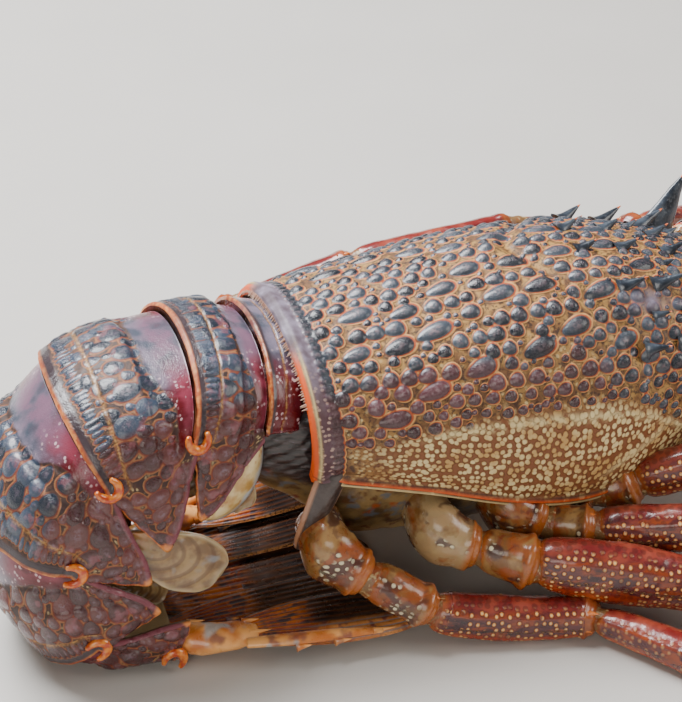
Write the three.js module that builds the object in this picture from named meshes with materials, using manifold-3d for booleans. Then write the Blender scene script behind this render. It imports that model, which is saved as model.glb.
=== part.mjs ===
// Spiny lobster, adult, life size, with the abdomen curled under the body.
// Millimetres, +Z up. The head looks along +X, the animal's right side faces -Y,
// and the body stands on the plane z = 0. X is counted from the rear rim of the carapace.

import * as THREE from 'three';
import Module from 'manifold-3d';

const wasm = await Module();
wasm.setup();

// Driving dimensions

const GAP = 0.35;
const LAP_GAP = 0.9;
const SHELL_FRONT = 101;
const ROSTRUM_REACH = 16;
const FACE_X = 121;
const SHELL_TUCK = 0.2;
const RIM_WIDTH = 5;
const RIM_RISE = 0.9;
const POCKET_DEPTH = 13;
const POCKET_WALL = 2.2;
const GROOVE_AT = 59;
const GROOVE_SWEEP = 34;
const GROOVE_DEPTH = 1.2;
const GROOVE_WIDTH = 4;
const BOSS_PITCH = 12.5;
const HORN_LENGTH = 16;
const EYE_RADIUS = 4;
const TERGITE_STEP = 1.5;
const PLEURON_THICK = 2.4;
const FLAGELLUM_LENGTH = 250;
const FLAGELLUM_BASE = 3;
const FAN_PLATE = 1.3;
const LIMB_SIDES = 8;
const SPINE_SIDES = 5;
const SCUTE_ROOT = 1.2;
const SHELL_TURNS = 22;
const POCKET_TURNS = 12;
const BACK_TURNS = 12;
const SEGMENT_LENGTH = 18;
const FLAP_AT = 0.6;
const FAN_DRIFT = -9;

// Heights and half widths along the carapace, each as [distance from the rim, size]
const SHELL_TOP = [[0, 72], [30, 74.8], [58, 77.6], [82, 75.5], [105, 68.5], [120, 62.5]];
const SHELL_MARGIN = [[0, 42], [27, 34.5], [51, 26.5], [70, 23.8], [94, 28.5], [108, 36], [120, 44]];
const SHELL_WIDTH = [[0, 34.5], [27, 39.5], [55, 43], [78, 42.5], [100, 36], [120, 25]];

// Heights and half widths of the thorax under the carapace
const THORAX_TOP = [[-11, 56], [-3, 59], [8, 60], [15, 60], [104, 56]];
const THORAX_FLOOR = [[-11, 37], [0, 27], [10, 16.5], [30, 12.5], [55, 11.5], [78, 14], [104, 26]];
const THORAX_WIDE = [[-11, 21], [0, 25], [15, 28], [50, 31], [78, 28.5], [104, 20]];
const THORAX_KEEL = [[-11, 14], [10, 17], [40, 19], [74, 13], [104, 7]];

// The curled abdomen, one entry for each joint from the carapace to the tail fan
const HINGE_X = [4, -9.6, -27, -48, -57.4, -53, -35.3];
const HINGE_Z = [54, 57.3, 60.6, 53.7, 33.1, 11.1, 3.8];
const CREST_X = [7, -5.5, -23.2, -54.5, -74, -65, -36];
const CREST_Z = [67.5, 71.4, 74.6, 67.6, 36.5, 0.5, -0.6];
const ABDOMEN_WIDE = [22, 24, 24.5, 25, 25, 24.5, 24];
const ABDOMEN_DRIFT = [0, -1, -3, -4.5, -6, -7.5, -9];

// Tips of the side flaps of segments 2 to 6, as [x, z, half width]
const FLAP_TIPS = [
  [-26.8, 39.3, 27], [-35.6, 34.8, 27.5], [-40.3, 27.4, 27.5], [-38.6, 19.1, 26.5], [-31.8, 14, 25.5],
];

// Small helpers

const point = (x, y, z) => new THREE.Vector3(x, y, z);
const blend = THREE.MathUtils.lerp;
const clamp = THREE.MathUtils.clamp;

// Seeded random draw between 0 and 1
function dice(seed) {
  let state = seed;
  return () => {
    state = (state * 1664525 + 1013904223) % 4294967296;
    return state / 4294967296;
  };
}

// Smooth curve through [position, value] pairs, flat beyond both ends
function profile(stations) {
  const last = stations.length - 1;
  const slope = (a, b) => (stations[b][1] - stations[a][1]) / (stations[b][0] - stations[a][0]);
  return (x) => {
    let i = 0;
    while (i < last - 1 && x > stations[i + 1][0]) i += 1;
    const [start, low] = stations[i];
    const [end, high] = stations[i + 1];
    const span = end - start;
    const t = clamp((x - start) / span, 0, 1);
    const rise = slope(Math.max(i - 1, 0), i + 1) * span;
    const fall = slope(i, Math.min(i + 2, last)) * span;
    const square = t * t;
    const cube = square * t;
    return low * (2 * cube - 3 * square + 1) + high * (3 * square - 2 * cube)
      + rise * (cube - 2 * square + t) + fall * (cube - square);
  };
}
const steps = (values) => profile(values.map((value, index) => [index, value]));

// Closed solid through rings of equal count, with flat ends
function loft(rings) {
  const count = rings[0].length;
  const places = rings.flat();
  const faces = [];
  for (let r = 0; r < rings.length - 1; r += 1) {
    for (let c = 0; c < count; c += 1) {
      const a = r * count + c;
      const b = r * count + (c + 1) % count;
      faces.push(a, b, b + count, a, b + count, a + count);
    }
  }
  const end = (ring, first, turn) => {
    const middle = ring.reduce((sum, p) => sum.add(p), point(0, 0, 0)).divideScalar(count);
    const normal = point(0, 0, 0);
    ring.forEach((p, i) => {
      const next = ring[(i + 1) % count].clone().sub(middle);
      normal.add(p.clone().sub(middle).cross(next));
    });
    normal.normalize();
    const across = ring[0].clone().sub(middle);
    across.addScaledVector(normal, -across.dot(normal)).normalize();
    const up = normal.clone().cross(across);
    const flat = ring.map((p) => {
      const arm = p.clone().sub(middle);
      return new THREE.Vector2(arm.dot(across), arm.dot(up));
    });
    THREE.ShapeUtils.triangulateShape(flat, []).forEach(([a, b, c]) => {
      faces.push(...(turn ? [first + a, first + c, first + b] : [first + a, first + b, first + c]));
    });
  };
  end(rings[0], 0, true);
  end(rings[rings.length - 1], count * (rings.length - 1), false);
  return solid(places, faces);
}

// Closed solid from places and triangles, turned so that its faces point out
function solid(places, faces) {
  let volume = 0;
  for (let i = 0; i < faces.length; i += 3) {
    volume += places[faces[i]].dot(places[faces[i + 1]].clone().cross(places[faces[i + 2]]));
  }
  if (volume < 0) faces.reverse();
  const vertProperties = new Float32Array(places.flatMap((p) => [p.x, p.y, p.z]));
  return new wasm.Manifold(new wasm.Mesh({ numProp: 3, vertProperties, triVerts: new Uint32Array(faces) }));
}

const join = (pieces) => pieces.reduce((sum, piece) => sum.add(piece));
const cut = (piece, tools) => tools.reduce((rest, tool) => rest.subtract(tool), piece);

// Largest closed surface of a solid
function largest(piece) {
  return piece.decompose().reduce((best, next) => (next.volume() > best.volume() ? next : best));
}

// Axes across a path: one sideways and one up, both square to the direction
function crossAxes(direction, upward = point(0, 0, 1)) {
  const side = direction.clone().cross(upward).normalize();
  return { side, up: side.clone().cross(direction).normalize() };
}

// Tapering limb along stations of [x, y, z, half width, half height]
function limb(stations, grow = 0, sides = LIMB_SIDES, upward = point(0, 0, 1)) {
  const centres = stations.map(([x, y, z]) => point(x, y, z));
  const rings = stations.map(([, , , wide, tall], i) => {
    const before = centres[Math.max(i - 1, 0)];
    const after = centres[Math.min(i + 1, centres.length - 1)];
    const along = after.clone().sub(before).normalize();
    const { side, up } = crossAxes(along, upward);
    const end = (i === centres.length - 1) - (i === 0);
    return Array.from({ length: sides }, (_, k) => {
      const angle = (2 * Math.PI * (k + 0.5)) / sides;
      return centres[i].clone().addScaledVector(along, end * grow)
        .addScaledVector(side, Math.cos(angle) * (wide + grow))
        .addScaledVector(up, Math.sin(angle) * (tall + grow));
    });
  });
  return loft(rings);
}

// Pointed spine on a surface point, its root sunk in by its own radius
function spine(root, direction, length, radius) {
  const sides = SPINE_SIDES;
  const along = direction.clone().normalize();
  const { side, up } = crossAxes(along, Math.abs(along.z) > 0.9 ? point(1, 0, 0) : point(0, 0, 1));
  const ring = (distance, size) => Array.from({ length: sides }, (_, k) => {
    const angle = (2 * Math.PI * k) / sides;
    return root.clone().addScaledVector(along, distance)
      .addScaledVector(side, Math.cos(angle) * size)
      .addScaledVector(up, Math.sin(angle) * size);
  });
  const places = [...ring(-radius, radius), ...ring(length * 0.45, radius * 0.62)];
  places.push(root.clone().addScaledVector(along, length));
  const faces = [];
  for (let k = 0; k < sides; k += 1) {
    const next = (k + 1) % sides;
    faces.push(k, next, sides + next, k, sides + next, sides + k);
    faces.push(sides + k, sides + next, 2 * sides);
    if (k > 0 && k < sides - 1) faces.push(0, k + 1, k);
  }
  return solid(places, faces);
}

// Low scute on a surface: a shield leaning forward, its root sunk in
function scute(at, normal, forward, long, wide, high) {
  const side = normal.clone().cross(forward).normalize();
  const ahead = side.clone().cross(normal).normalize();
  const sides = SPINE_SIDES;
  const ring = (scale, lift, shift) => Array.from({ length: sides }, (_, k) => {
    const angle = (2 * Math.PI * k) / sides;
    return at.clone().addScaledVector(normal, lift)
      .addScaledVector(ahead, Math.cos(angle) * long * scale + shift)
      .addScaledVector(side, Math.sin(angle) * wide * scale);
  });
  const places = [...ring(1, -SCUTE_ROOT, 0), ...ring(0.72, high, long * 0.15)];
  const faces = [];
  for (let k = 0; k < sides; k += 1) {
    const next = (k + 1) % sides;
    faces.push(k, next, sides + next, k, sides + next, sides + k);
    if (k > 0 && k < sides - 1) faces.push(0, k + 1, k, sides, sides + k, sides + k + 1);
  }
  return solid(places, faces);
}

// Solid with the shape of a closed geometry, its equal corners joined
function fromGeometry(geometry) {
  const at = geometry.getAttribute('position');
  const index = geometry.getIndex();
  const order = index ? Array.from(index.array) : Array.from({ length: at.count }, (_, i) => i);
  const known = new Map();
  const places = [];
  const faces = order.map((i) => {
    const p = point(at.getX(i), at.getY(i), at.getZ(i));
    const key = p.toArray().map((v) => v.toFixed(4)).join();
    if (!known.has(key)) known.set(key, places.push(p) - 1);
    return known.get(key);
  });
  return solid(places, faces);
}

// Block under the floor
const FLOOR_REACH = 700;
function underFloor() {
  const block = new THREE.BoxGeometry(FLOOR_REACH, FLOOR_REACH, FLOOR_REACH);
  block.translate(0, 0, -FLOOR_REACH / 2);
  return fromGeometry(block);
}

// Carapace

const shellTop = profile(SHELL_TOP);
const shellMargin = profile(SHELL_MARGIN);
const shellWidth = profile(SHELL_WIDTH);

// Depth of the groove that parts head from thorax, which sweeps forward down the sides
function grooveDip(x, angle) {
  const line = GROOVE_AT + GROOVE_SWEEP * Math.abs(Math.cos(angle)) ** 1.3;
  const reach = clamp(Math.sin(angle) * 2.4 - 0.9, 0, 1);
  return GROOVE_DEPTH * reach * Math.exp(-(((x - line) / GROOVE_WIDTH) ** 2));
}

// Point of the carapace: angle 0 is the right lower edge, half a turn is the left one
function shellPoint(x, angle, grow = 0) {
  const rise = Math.sin(angle);
  const rim = RIM_RISE * clamp(1.6 - Math.abs(x - RIM_WIDTH / 2) / (RIM_WIDTH / 2), 0, 1);
  const out = grow + rim - grooveDip(x, angle);
  const height = shellTop(x) - shellMargin(x);
  const tuck = 1 - SHELL_TUCK * (1 - rise) ** 2;
  const y = -(shellWidth(x) * tuck + out) * Math.cos(angle);
  const z = shellMargin(x) + (height + out) * rise - grow * (1 - rise);
  return point(x, y, z);
}
const shellFront = (angle) => SHELL_FRONT + ROSTRUM_REACH * Math.sin(angle);

function shellNormal(x, angle) {
  const step = 0.01;
  const along = shellPoint(x + 1, angle).sub(shellPoint(x - 1, angle));
  const round = shellPoint(x, angle + step).sub(shellPoint(x, angle - step));
  return along.cross(round).normalize();
}

function shellRing(x, front, grow) {
  const ring = [];
  for (let k = 0; k <= SHELL_TURNS; k += 1) {
    const angle = (Math.PI * k) / SHELL_TURNS;
    const reach = front ? shellFront(angle) + grow : x;
    ring.push(shellPoint(reach, angle, grow));
  }
  const lift = 1.5 - grow;
  const foot = front ? shellFront(0) + grow : x;
  const inner = shellPoint(foot, Math.PI, grow);
  ring.push(point(foot, inner.y - 3, inner.z + lift), point(foot, -inner.y + 3, inner.z + lift));
  return ring;
}

function carapaceBody(grow = 0) {
  const places = [0, 2.5, 5, 7.5, 14, 24, 35, 46, 55, 60, 66, 74, 83, 92];
  const rings = places.map((x) => {
    const ring = shellRing(x === 0 ? -grow : x, false, grow);
    if (x < 40) return ring;
    const bend = ((x - 40) / (SHELL_FRONT - 40)) ** 2;
    return ring.map((_, k) => {
      if (k > SHELL_TURNS) return ring[k];
      const angle = (Math.PI * k) / SHELL_TURNS;
      return shellPoint(x + ROSTRUM_REACH * Math.sin(angle) * bend, angle, grow);
    });
  });
  rings.push(shellRing(0, true, grow));
  const outer = loft(rings);
  const pocket = [-3, 4, POCKET_DEPTH - grow].map((x) => {
    const ring = [];
    for (let k = 0; k <= POCKET_TURNS; k += 1) {
      ring.push(shellPoint(x, (Math.PI * k) / POCKET_TURNS, -POCKET_WALL - grow));
    }
    const low = shellMargin(0) - POCKET_DEPTH;
    ring.push(point(x, ring[POCKET_TURNS].y, low), point(x, ring[0].y, low));
    return ring;
  });
  return outer.subtract(loft(pocket));
}

// Scutes over the back, larger and set on end to end, left out near the edges
function carapaceScutes() {
  const draw = dice(7);
  const pieces = [];
  for (let row = 0; row < 8; row += 1) {
    const x = 13 + row * BOSS_PITCH;
    for (let k = -4; k <= 4; k += 1) {
      const turn = (k + (row % 2 ? 0.5 : 0)) * 0.29 + (draw() - 0.5) * 0.08;
      const angle = Math.PI / 2 + turn;
      const place = x + (draw() - 0.5) * 3;
      const size = 0.8 + draw() * 0.5;
      const low = Math.abs(turn);
      const front = shellFront(angle) - 8;
      if (low > 1.2 || place > front || grooveDip(place, angle) > 0.6) continue;
      const at = shellPoint(place, angle);
      pieces.push(scute(at, shellNormal(place, angle), point(1, 0, 0),
        3.4 * size, 2.4 * size, 1.2 - low * 0.35));
    }
  }
  return pieces;
}

// Forward spines: one row behind each horn, one along each flank and one at each front corner
function carapaceSpines() {
  const pieces = [];
  for (const side of [-1, 1]) {
    const row = (turn, list) => list.forEach(([x, length, radius]) => {
      const angle = Math.PI / 2 + side * turn;
      const normal = shellNormal(x, angle);
      const lean = normal.clone().multiplyScalar(0.75).add(point(1, 0, 0)).normalize();
      pieces.push(spine(shellPoint(x, angle), lean, length, radius));
    });
    row(0.42, [[103, 8, 2], [93, 6.5, 1.8], [83, 5.5, 1.7]]);
    row(0.12, [[101, 5, 1.5], [88, 4.5, 1.5], [77, 4, 1.5]]);
    row(0.8, [[104, 6, 1.7], [95, 5, 1.6], [85, 4.5, 1.5]]);
    const corner = Math.PI / 2 + side * 1.16;
    pieces.push(spine(shellPoint(104, corner), point(1, side * 0.3, 0.16), 12, 2.6));
    const temple = Math.PI / 2 + side * 0.95;
    pieces.push(spine(shellPoint(108, temple), point(1, side * 0.4, 0.35), 6, 1.8));
  }
  return pieces;
}

// Flat horn over each eye
function horn(side) {
  const angle = Math.PI / 2 + side * 0.5;
  const root = shellPoint(109, angle);
  const along = point(0.5, side * 0.33, 0.8).normalize();
  const ahead = point(1, 0, -0.5).addScaledVector(along, -point(1, 0, -0.5).dot(along)).normalize();
  const across = along.clone().cross(ahead);
  const rings = [[-4, 6.2, 2.6, -1.5], [2, 4.6, 2.1, -0.5], [8, 2.6, 1.4, 0.5], [HORN_LENGTH, 0.35, 0.3, 1.6]]
    .map(([distance, long, thick, shift]) => Array.from({ length: LIMB_SIDES }, (_, k) => {
      const turn = (2 * Math.PI * k) / LIMB_SIDES;
      return root.clone().addScaledVector(along, distance)
        .addScaledVector(ahead, Math.cos(turn) * long + shift)
        .addScaledVector(across, Math.sin(turn) * thick);
    }));
  return loft(rings);
}

const rostrum = () => spine(shellPoint(114, Math.PI / 2), point(1, 0, 0.35), 7, 2.2);

function carapace() {
  return join([carapaceBody(), horn(-1), horn(1), rostrum(), ...carapaceSpines(), ...carapaceScutes()]);
}

// Thorax with its rear wall and sternum, under the carapace

const thoraxTop = profile(THORAX_TOP);
const thoraxFloor = profile(THORAX_FLOOR);
const thoraxWide = profile(THORAX_WIDE);
const thoraxKeel = profile(THORAX_KEEL);

function thoraxBody(grow = 0) {
  const rings = [-11, -5, 2, 10, 20, 34, 50, 66, 84, 104].map((x, i, all) => {
    const end = i === 0 ? -grow : i === all.length - 1 ? grow : 0;
    const wide = thoraxWide(x) + grow;
    const keel = thoraxKeel(x) + grow;
    const low = thoraxFloor(x) - grow;
    const high = thoraxTop(x) + grow;
    const knee = blend(low, high, 0.3);
    return [[-keel, low], [keel, low], [wide - 2, knee], [wide, high - 4], [wide * 0.7, high],
      [-wide * 0.7, high], [-wide, high - 4], [-wide + 2, knee]].map(([y, z]) => point(x + end, y, z));
  });
  return loft(rings);
}

// Head front: the face under the horns, which carries eyes, feelers and mouth

function headBody(grow = 0) {
  const stations = [[-19, 20, 30, 57], [-11, 22, 31, 58], [-5, 20, 34, 58], [0, 12, 39, 54]]
    .map(([ahead, ...rest]) => [FACE_X + ahead, ...rest]);
  const rings = stations.map(([x, wide, low, high], i) => {
    const end = i === 0 ? -grow : i === stations.length - 1 ? grow : 0;
    return Array.from({ length: 12 }, (_, k) => {
      const turn = (2 * Math.PI * (k + 0.5)) / 12;
      return point(x + end, Math.cos(turn) * (wide + grow),
        (low + high) / 2 + Math.sin(turn) * ((high - low) / 2 + grow));
    });
  });
  return loft(rings);
}

// Eye on its short stalk
function eye(side) {
  const stalk = limb([
    [FACE_X - 8, side * 11, 57.5, 2.8, 2.8], [FACE_X - 4.5, side * 14, 58.7, 3.1, 3.1],
  ]);
  const ball = new THREE.IcosahedronGeometry(EYE_RADIUS, 2);
  ball.scale(0.9, 1, 1);
  ball.translate(FACE_X - 2.5, side * 16.5, 59.3);
  return join([stalk, fromGeometry(ball)]);
}

// Feelers

const peduncleStations = (side) => [
  [-7, 13.5, 46, 7.5, 7.5], [-4, 14, 46, 9, 9.2], [5, 16.5, 46.5, 9.2, 9.2], [7.5, 17, 46.8, 7, 7.2],
  [10, 17.8, 47, 8.6, 8.2], [23, 21.5, 48, 8, 7.6], [26.5, 22.3, 48.3, 5.6, 5.4],
  [29, 23, 48.5, 6.6, 6.2], [43, 26.5, 49.5, 5.4, 5], [48, 27.8, 49.8, 3.8, 3.6],
].map(([ahead, y, z, wide, tall]) => [FACE_X + ahead, side * y, z, wide, tall]);

function peduncle(side) {
  const thorns = [
    [2, 16, 54, 0.5, -0.1, 1, 9, 2.2], [3, 24, 50, 0.7, 0.6, 0.5, 6, 1.6],
    [15, 17, 54, 0.8, -0.2, 0.6, 6, 1.6], [22, 20, 54.5, 0.9, -0.1, 0.5, 7, 1.7],
    [15, 26, 51, 0.8, 0.6, 0.3, 6, 1.6], [22, 28.5, 49, 0.9, 0.5, 0, 7, 1.7],
    [18, 13.5, 49, 0.8, -0.6, 0.1, 5, 1.5],
    [34, 30, 49, 0.9, 0.5, 0.1, 7, 1.5], [42, 31, 50, 1, 0.35, 0.1, 8, 1.5],
    [34, 18.6, 49, 0.9, -0.5, 0.1, 6, 1.5], [41, 21, 50, 1, -0.3, 0.1, 7, 1.5],
    [38, 25.5, 54, 0.9, 0, 0.5, 5, 1.4],
  ].map(([x, y, z, dx, dy, dz, length, radius]) => spine(point(FACE_X + x, side * y, z - radius * 0.6),
    point(dx, side * dy, dz), length, radius));
  return join([limb(peduncleStations(side)), ...thorns]);
}

// Whip of each feeler, in two lengths along one curve
const WHIP_ROOT = [48.5, 28.2, 50];
const WHIP_JOIN = 120;
function whipPlace(side, distance) {
  const [ahead, aside, up] = WHIP_ROOT;
  const share = distance / FLAGELLUM_LENGTH;
  const turn = 0.187 + 0.396 * share;
  return point(
    FACE_X + ahead + distance * Math.cos(0.26 + 0.2 * share),
    side * (aside + distance * Math.sin(turn) * 0.95),
    up + 34 * share - 22 * share * share,
  );
}
function whip(side, start, end, count) {
  const stations = Array.from({ length: count + 1 }, (_, k) => {
    const distance = blend(start, end, k / count);
    const at = whipPlace(side, distance);
    const radius = blend(FLAGELLUM_BASE, 0.45, (distance / FLAGELLUM_LENGTH) ** 0.8);
    return [at.x, at.y, at.z, radius, radius];
  });
  return limb(stations, 0, 6);
}

// Inner feelers: three slim joints and two short lashes
function antennule(side) {
  const place = ([ahead, y, ...rest]) => [FACE_X + ahead, side * y, ...rest];
  const stem = limb([
    [-3, 3, 53, 2, 2], [12, 5, 57, 1.7, 1.7], [13, 5.1, 57.2, 1.2, 1.2], [15, 5.3, 57.6, 1.6, 1.6],
    [27, 7, 60, 1.4, 1.4], [28.5, 7.2, 60.4, 1, 1], [30, 7.4, 60.8, 1.3, 1.3], [40, 9, 63, 1.1, 1.1],
  ].map(place), 0, 6);
  const lash = (dy, dz) => limb([
    [38, 8.7, 62.6, 0.7, 0.7], [46, 10 + dy * 0.4, 64.5 + dz * 0.4, 0.6, 0.6],
    [60, 12.5 + dy, 67 + dz, 0.35, 0.35],
  ].map(place), 0, SPINE_SIDES);
  return join([stem, lash(3.5, 3), lash(-1, -2)]);
}

// Third mouth leg, folded forward under the face
function mouthLeg(side) {
  const stations = [
    [-30, 7.5, 17, 3, 3.6], [-22, 7.5, 18, 3.2, 4], [-10, 7, 22, 3, 3.8], [-7, 6.8, 24, 2.4, 2.8],
    [-3, 6.5, 27, 2.8, 3.2], [1, 6, 33, 2.4, 2.6], [2, 5.4, 36, 1.8, 1.8], [2.5, 5, 41, 1, 1],
  ].map(([ahead, y, ...rest]) => [FACE_X + ahead, side * y, ...rest]);
  return limb(stations, 0, LIMB_SIDES, point(1, 0, 0.2));
}

// Walking legs, each as an upper length to the knee and a lower length beyond it.
// Stations are x, distance from the middle plane, z, half width and half height.
const LEGS = {
  right_5: {
    side: -1,
    upper: [
      [3, 23, 26, 5.5, 7.5], [3, 30.5, 23, 6, 8.5], [7, 34, 19.5, 5, 6.2], [10, 36, 17.5, 4, 4.4],
      [14, 38, 15.5, 5, 5.2], [21, 41.5, 11, 4.8, 5], [24, 42.8, 9, 3.8, 4],
      [28, 44, 7.2, 4.8, 5.3], [44, 49, 5.1, 4.9, 5.6], [59, 53.5, 4.9, 4.4, 4.9],
    ],
    lower: [
      [61, 55, 5, 2.8, 3.2], [66, 60.5, 4.8, 3.6, 3.9], [76, 73, 4.6, 4.3, 4.5],
      [78.5, 76.5, 4.4, 3, 3.2], [82, 81, 4.2, 3.4, 3.8], [104, 110, 3.4, 2.6, 3],
      [106, 113, 3.2, 2, 2.2], [114, 123, 2.4, 1.5, 1.8], [120, 131, 0.5, 0.6, 0.7],
    ],
  },
  right_4: {
    side: -1,
    upper: [
      [29, 24, 25, 5.5, 7.5], [30, 32, 22.5, 6, 8], [35, 35.5, 20, 5, 6.2], [38, 37, 19.2, 4, 4.6],
      [42, 39.5, 18.5, 5, 6], [48, 43, 17, 5.2, 6.4], [50, 44, 16.5, 4.4, 5.2],
      [54, 46, 16.6, 5.4, 7.2], [70, 52.5, 14, 5.6, 8.2], [88, 60, 10.4, 4.6, 6.8],
    ],
    lower: [
      [90, 62.5, 8.6, 2.8, 3.4], [95, 67, 8, 3.8, 4.4], [106, 77, 6.6, 4.4, 4.8],
      [108.5, 79.5, 6.2, 3, 3.2], [112, 83, 5.8, 3.5, 3.9], [136, 106, 3.6, 2.6, 3],
      [138, 108, 3.4, 2, 2.2], [147, 117, 2.4, 1.5, 1.8], [153, 123, 0.5, 0.6, 0.7],
    ],
  },
  right_3: {
    side: -1,
    upper: [
      [48, 24, 24, 5.5, 7], [49, 31, 22.5, 5.5, 7.5], [53, 33, 21, 4.8, 6], [56, 34.5, 20, 4, 4.4],
      [60, 36.5, 19.5, 4.6, 5.4], [65, 39.5, 19.4, 4.8, 5.6], [67, 40.6, 19.6, 4, 4.6],
      [71, 42.6, 20, 4.8, 5.8], [88, 51, 22, 4.9, 6.2], [106, 60, 25, 4.2, 5],
    ],
    lower: [
      [108, 61, 25.4, 2.8, 3.2], [113, 64, 25.4, 3.6, 4.2], [124, 71, 23.6, 4.2, 4.6],
      [127, 73, 22.6, 3, 3.2], [130, 75.5, 21, 3.4, 3.8], [148, 90, 8.5, 2.6, 3],
      [149.5, 91.5, 7.4, 2, 2.2], [155, 96, 3.4, 1.5, 1.7], [158, 98.5, 0.5, 0.7, 0.7],
    ],
  },
  right_2: {
    side: -1,
    upper: [
      [63, 22, 24, 5, 6.5], [64, 28, 23.5, 5, 6.5], [68, 30, 23, 4.4, 5.4], [71, 31, 23, 3.8, 4.2],
      [75, 32.5, 23.5, 4.4, 5], [79, 34, 25, 4.6, 5.2], [81, 34.8, 26, 3.8, 4.2],
      [85, 36.5, 28, 4.6, 5.8], [102, 43.5, 36, 4.6, 5.8], [118, 50, 42, 4, 4.8],
    ],
    lower: [
      [120, 51, 42, 2.6, 3], [125, 53, 41.5, 3.4, 4], [136, 58, 37.5, 4, 4.4],
      [139, 59.5, 35.8, 2.9, 3.1], [142, 61, 33.5, 3.3, 3.7], [160, 70, 12, 2.6, 2.9],
      [161.5, 70.8, 10.4, 2, 2.1], [166, 73, 4.6, 1.5, 1.7], [168.5, 74.2, 0.5, 0.7, 0.7],
    ],
  },
  right_1: {
    side: -1,
    upper: [
      [76, 16, 23, 4.8, 6], [79, 22.5, 22.5, 4.8, 6], [83, 25, 22.5, 4.2, 5],
      [86, 26.2, 22.8, 3.6, 4], [90, 28, 23.5, 4.2, 4.8], [94, 29.5, 25, 4.4, 5],
      [96, 30.2, 26, 3.6, 4], [100, 31.8, 28, 4.4, 5.4], [116, 37, 34, 4.6, 5.6],
      [132, 42, 38, 4.2, 4.8],
    ],
    lower: [
      [134, 42.8, 38, 2.8, 3], [139, 44, 37, 3.8, 4.2], [150, 46.5, 32, 4.6, 5],
      [152.5, 47.2, 30, 3.4, 3.6], [155.5, 48, 27.6, 4.2, 4.4], [171, 51, 10.6, 3.4, 3.6],
      [172.5, 51.2, 9, 2.6, 2.6], [177, 52, 4, 1.8, 1.9], [179.5, 52.4, 0.5, 0.8, 0.7],
    ],
  },
  left_5: {
    side: 1,
    upper: [
      [3, 23, 26, 5.5, 7.5], [3, 31, 23, 6, 8], [4, 35.5, 19.5, 5, 6], [5, 38.5, 18, 4, 4.4],
      [5, 42.5, 18, 4.8, 4.8], [3, 46, 19.5, 4.8, 4.8], [2, 47.6, 21.5, 4, 4],
      [1.5, 49, 25, 4.6, 5], [2, 49.8, 34, 4.2, 4.6], [4, 50, 40.5, 3.6, 4],
    ],
    lower: [
      [6.5, 50, 42.8, 2.2, 2.4], [11, 49.8, 43.4, 2.8, 3], [34, 48.6, 48.8, 3.4, 3.7],
      [38, 48.3, 49.6, 2.6, 2.8], [42, 48, 50.4, 3, 3.4], [79, 46.8, 53.6, 2.4, 2.8],
      [82, 46.7, 53.4, 2, 2.1], [91, 46.4, 51.4, 1.5, 1.8], [100, 46, 48, 0.6, 0.6],
    ],
  },
};

// The other left legs: each as its right one, swung about its base by a few millimetres a joint
const SWING_FROM = 3;
for (const [name, turn] of [['4', 3], ['3', 5], ['2', -2], ['1', 3]]) {
  const { upper, lower } = LEGS[`right_${name}`];
  const swing = (stations, first) => stations.map(([x, y, z, wide, tall], i) => {
    const reach = Math.max(first + i - SWING_FROM, 0);
    return [x - (turn * reach) / 4, y + (turn * reach) / 8, z, wide, tall];
  });
  LEGS[`left_${name}`] = { side: 1, upper: swing(upper, 0), lower: swing(lower, upper.length - 1) };
}

function legPart(name, part, grow = 0) {
  const { side, [part]: stations } = LEGS[name];
  const knee = LEGS[name].upper.at(-1);
  const whole = part === 'lower' ? [[...knee.slice(0, 3), ...stations[0].slice(3)], ...stations] : stations;
  const placed = whole.map(([x, y, z, wide, tall]) => [x, side * y, z, wide, tall]);
  const rising = name === 'left_5' && part === 'upper';
  return limb(placed, grow, LIMB_SIDES, rising ? point(1, 0, 0) : point(0, 0, 1));
}

// Abdomen

const hingeX = steps(HINGE_X);
const hingeZ = steps(HINGE_Z);
const crestX = steps(CREST_X);
const crestZ = steps(CREST_Z);
const abdomenWide = steps(ABDOMEN_WIDE);
const abdomenDrift = steps(ABDOMEN_DRIFT);

// Rise of the plate along one segment: low where the segment before covers it, high at the rear rim
const plateRise = profile([
  [0, -TERGITE_STEP], [0.3, -TERGITE_STEP * 0.8], [0.42, -0.1], [0.6, 0.2], [0.85, 0], [1, 0.5],
]);
const flapReach = profile([
  [0, 0.12], [0.2, 0.45], [0.45, 0.92], [0.6, 1], [0.75, 0.8], [0.9, 0.35], [1, 0.12],
]);

function backPoint(station, angle, rise) {
  const along = point(crestX(station) - hingeX(station), 0, crestZ(station) - hingeZ(station));
  const height = along.length();
  along.normalize();
  const y = abdomenDrift(station) - (abdomenWide(station) + rise) * Math.cos(angle);
  return point(hingeX(station), y, hingeZ(station)).addScaledVector(along, (height + rise) * Math.sin(angle));
}

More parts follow.
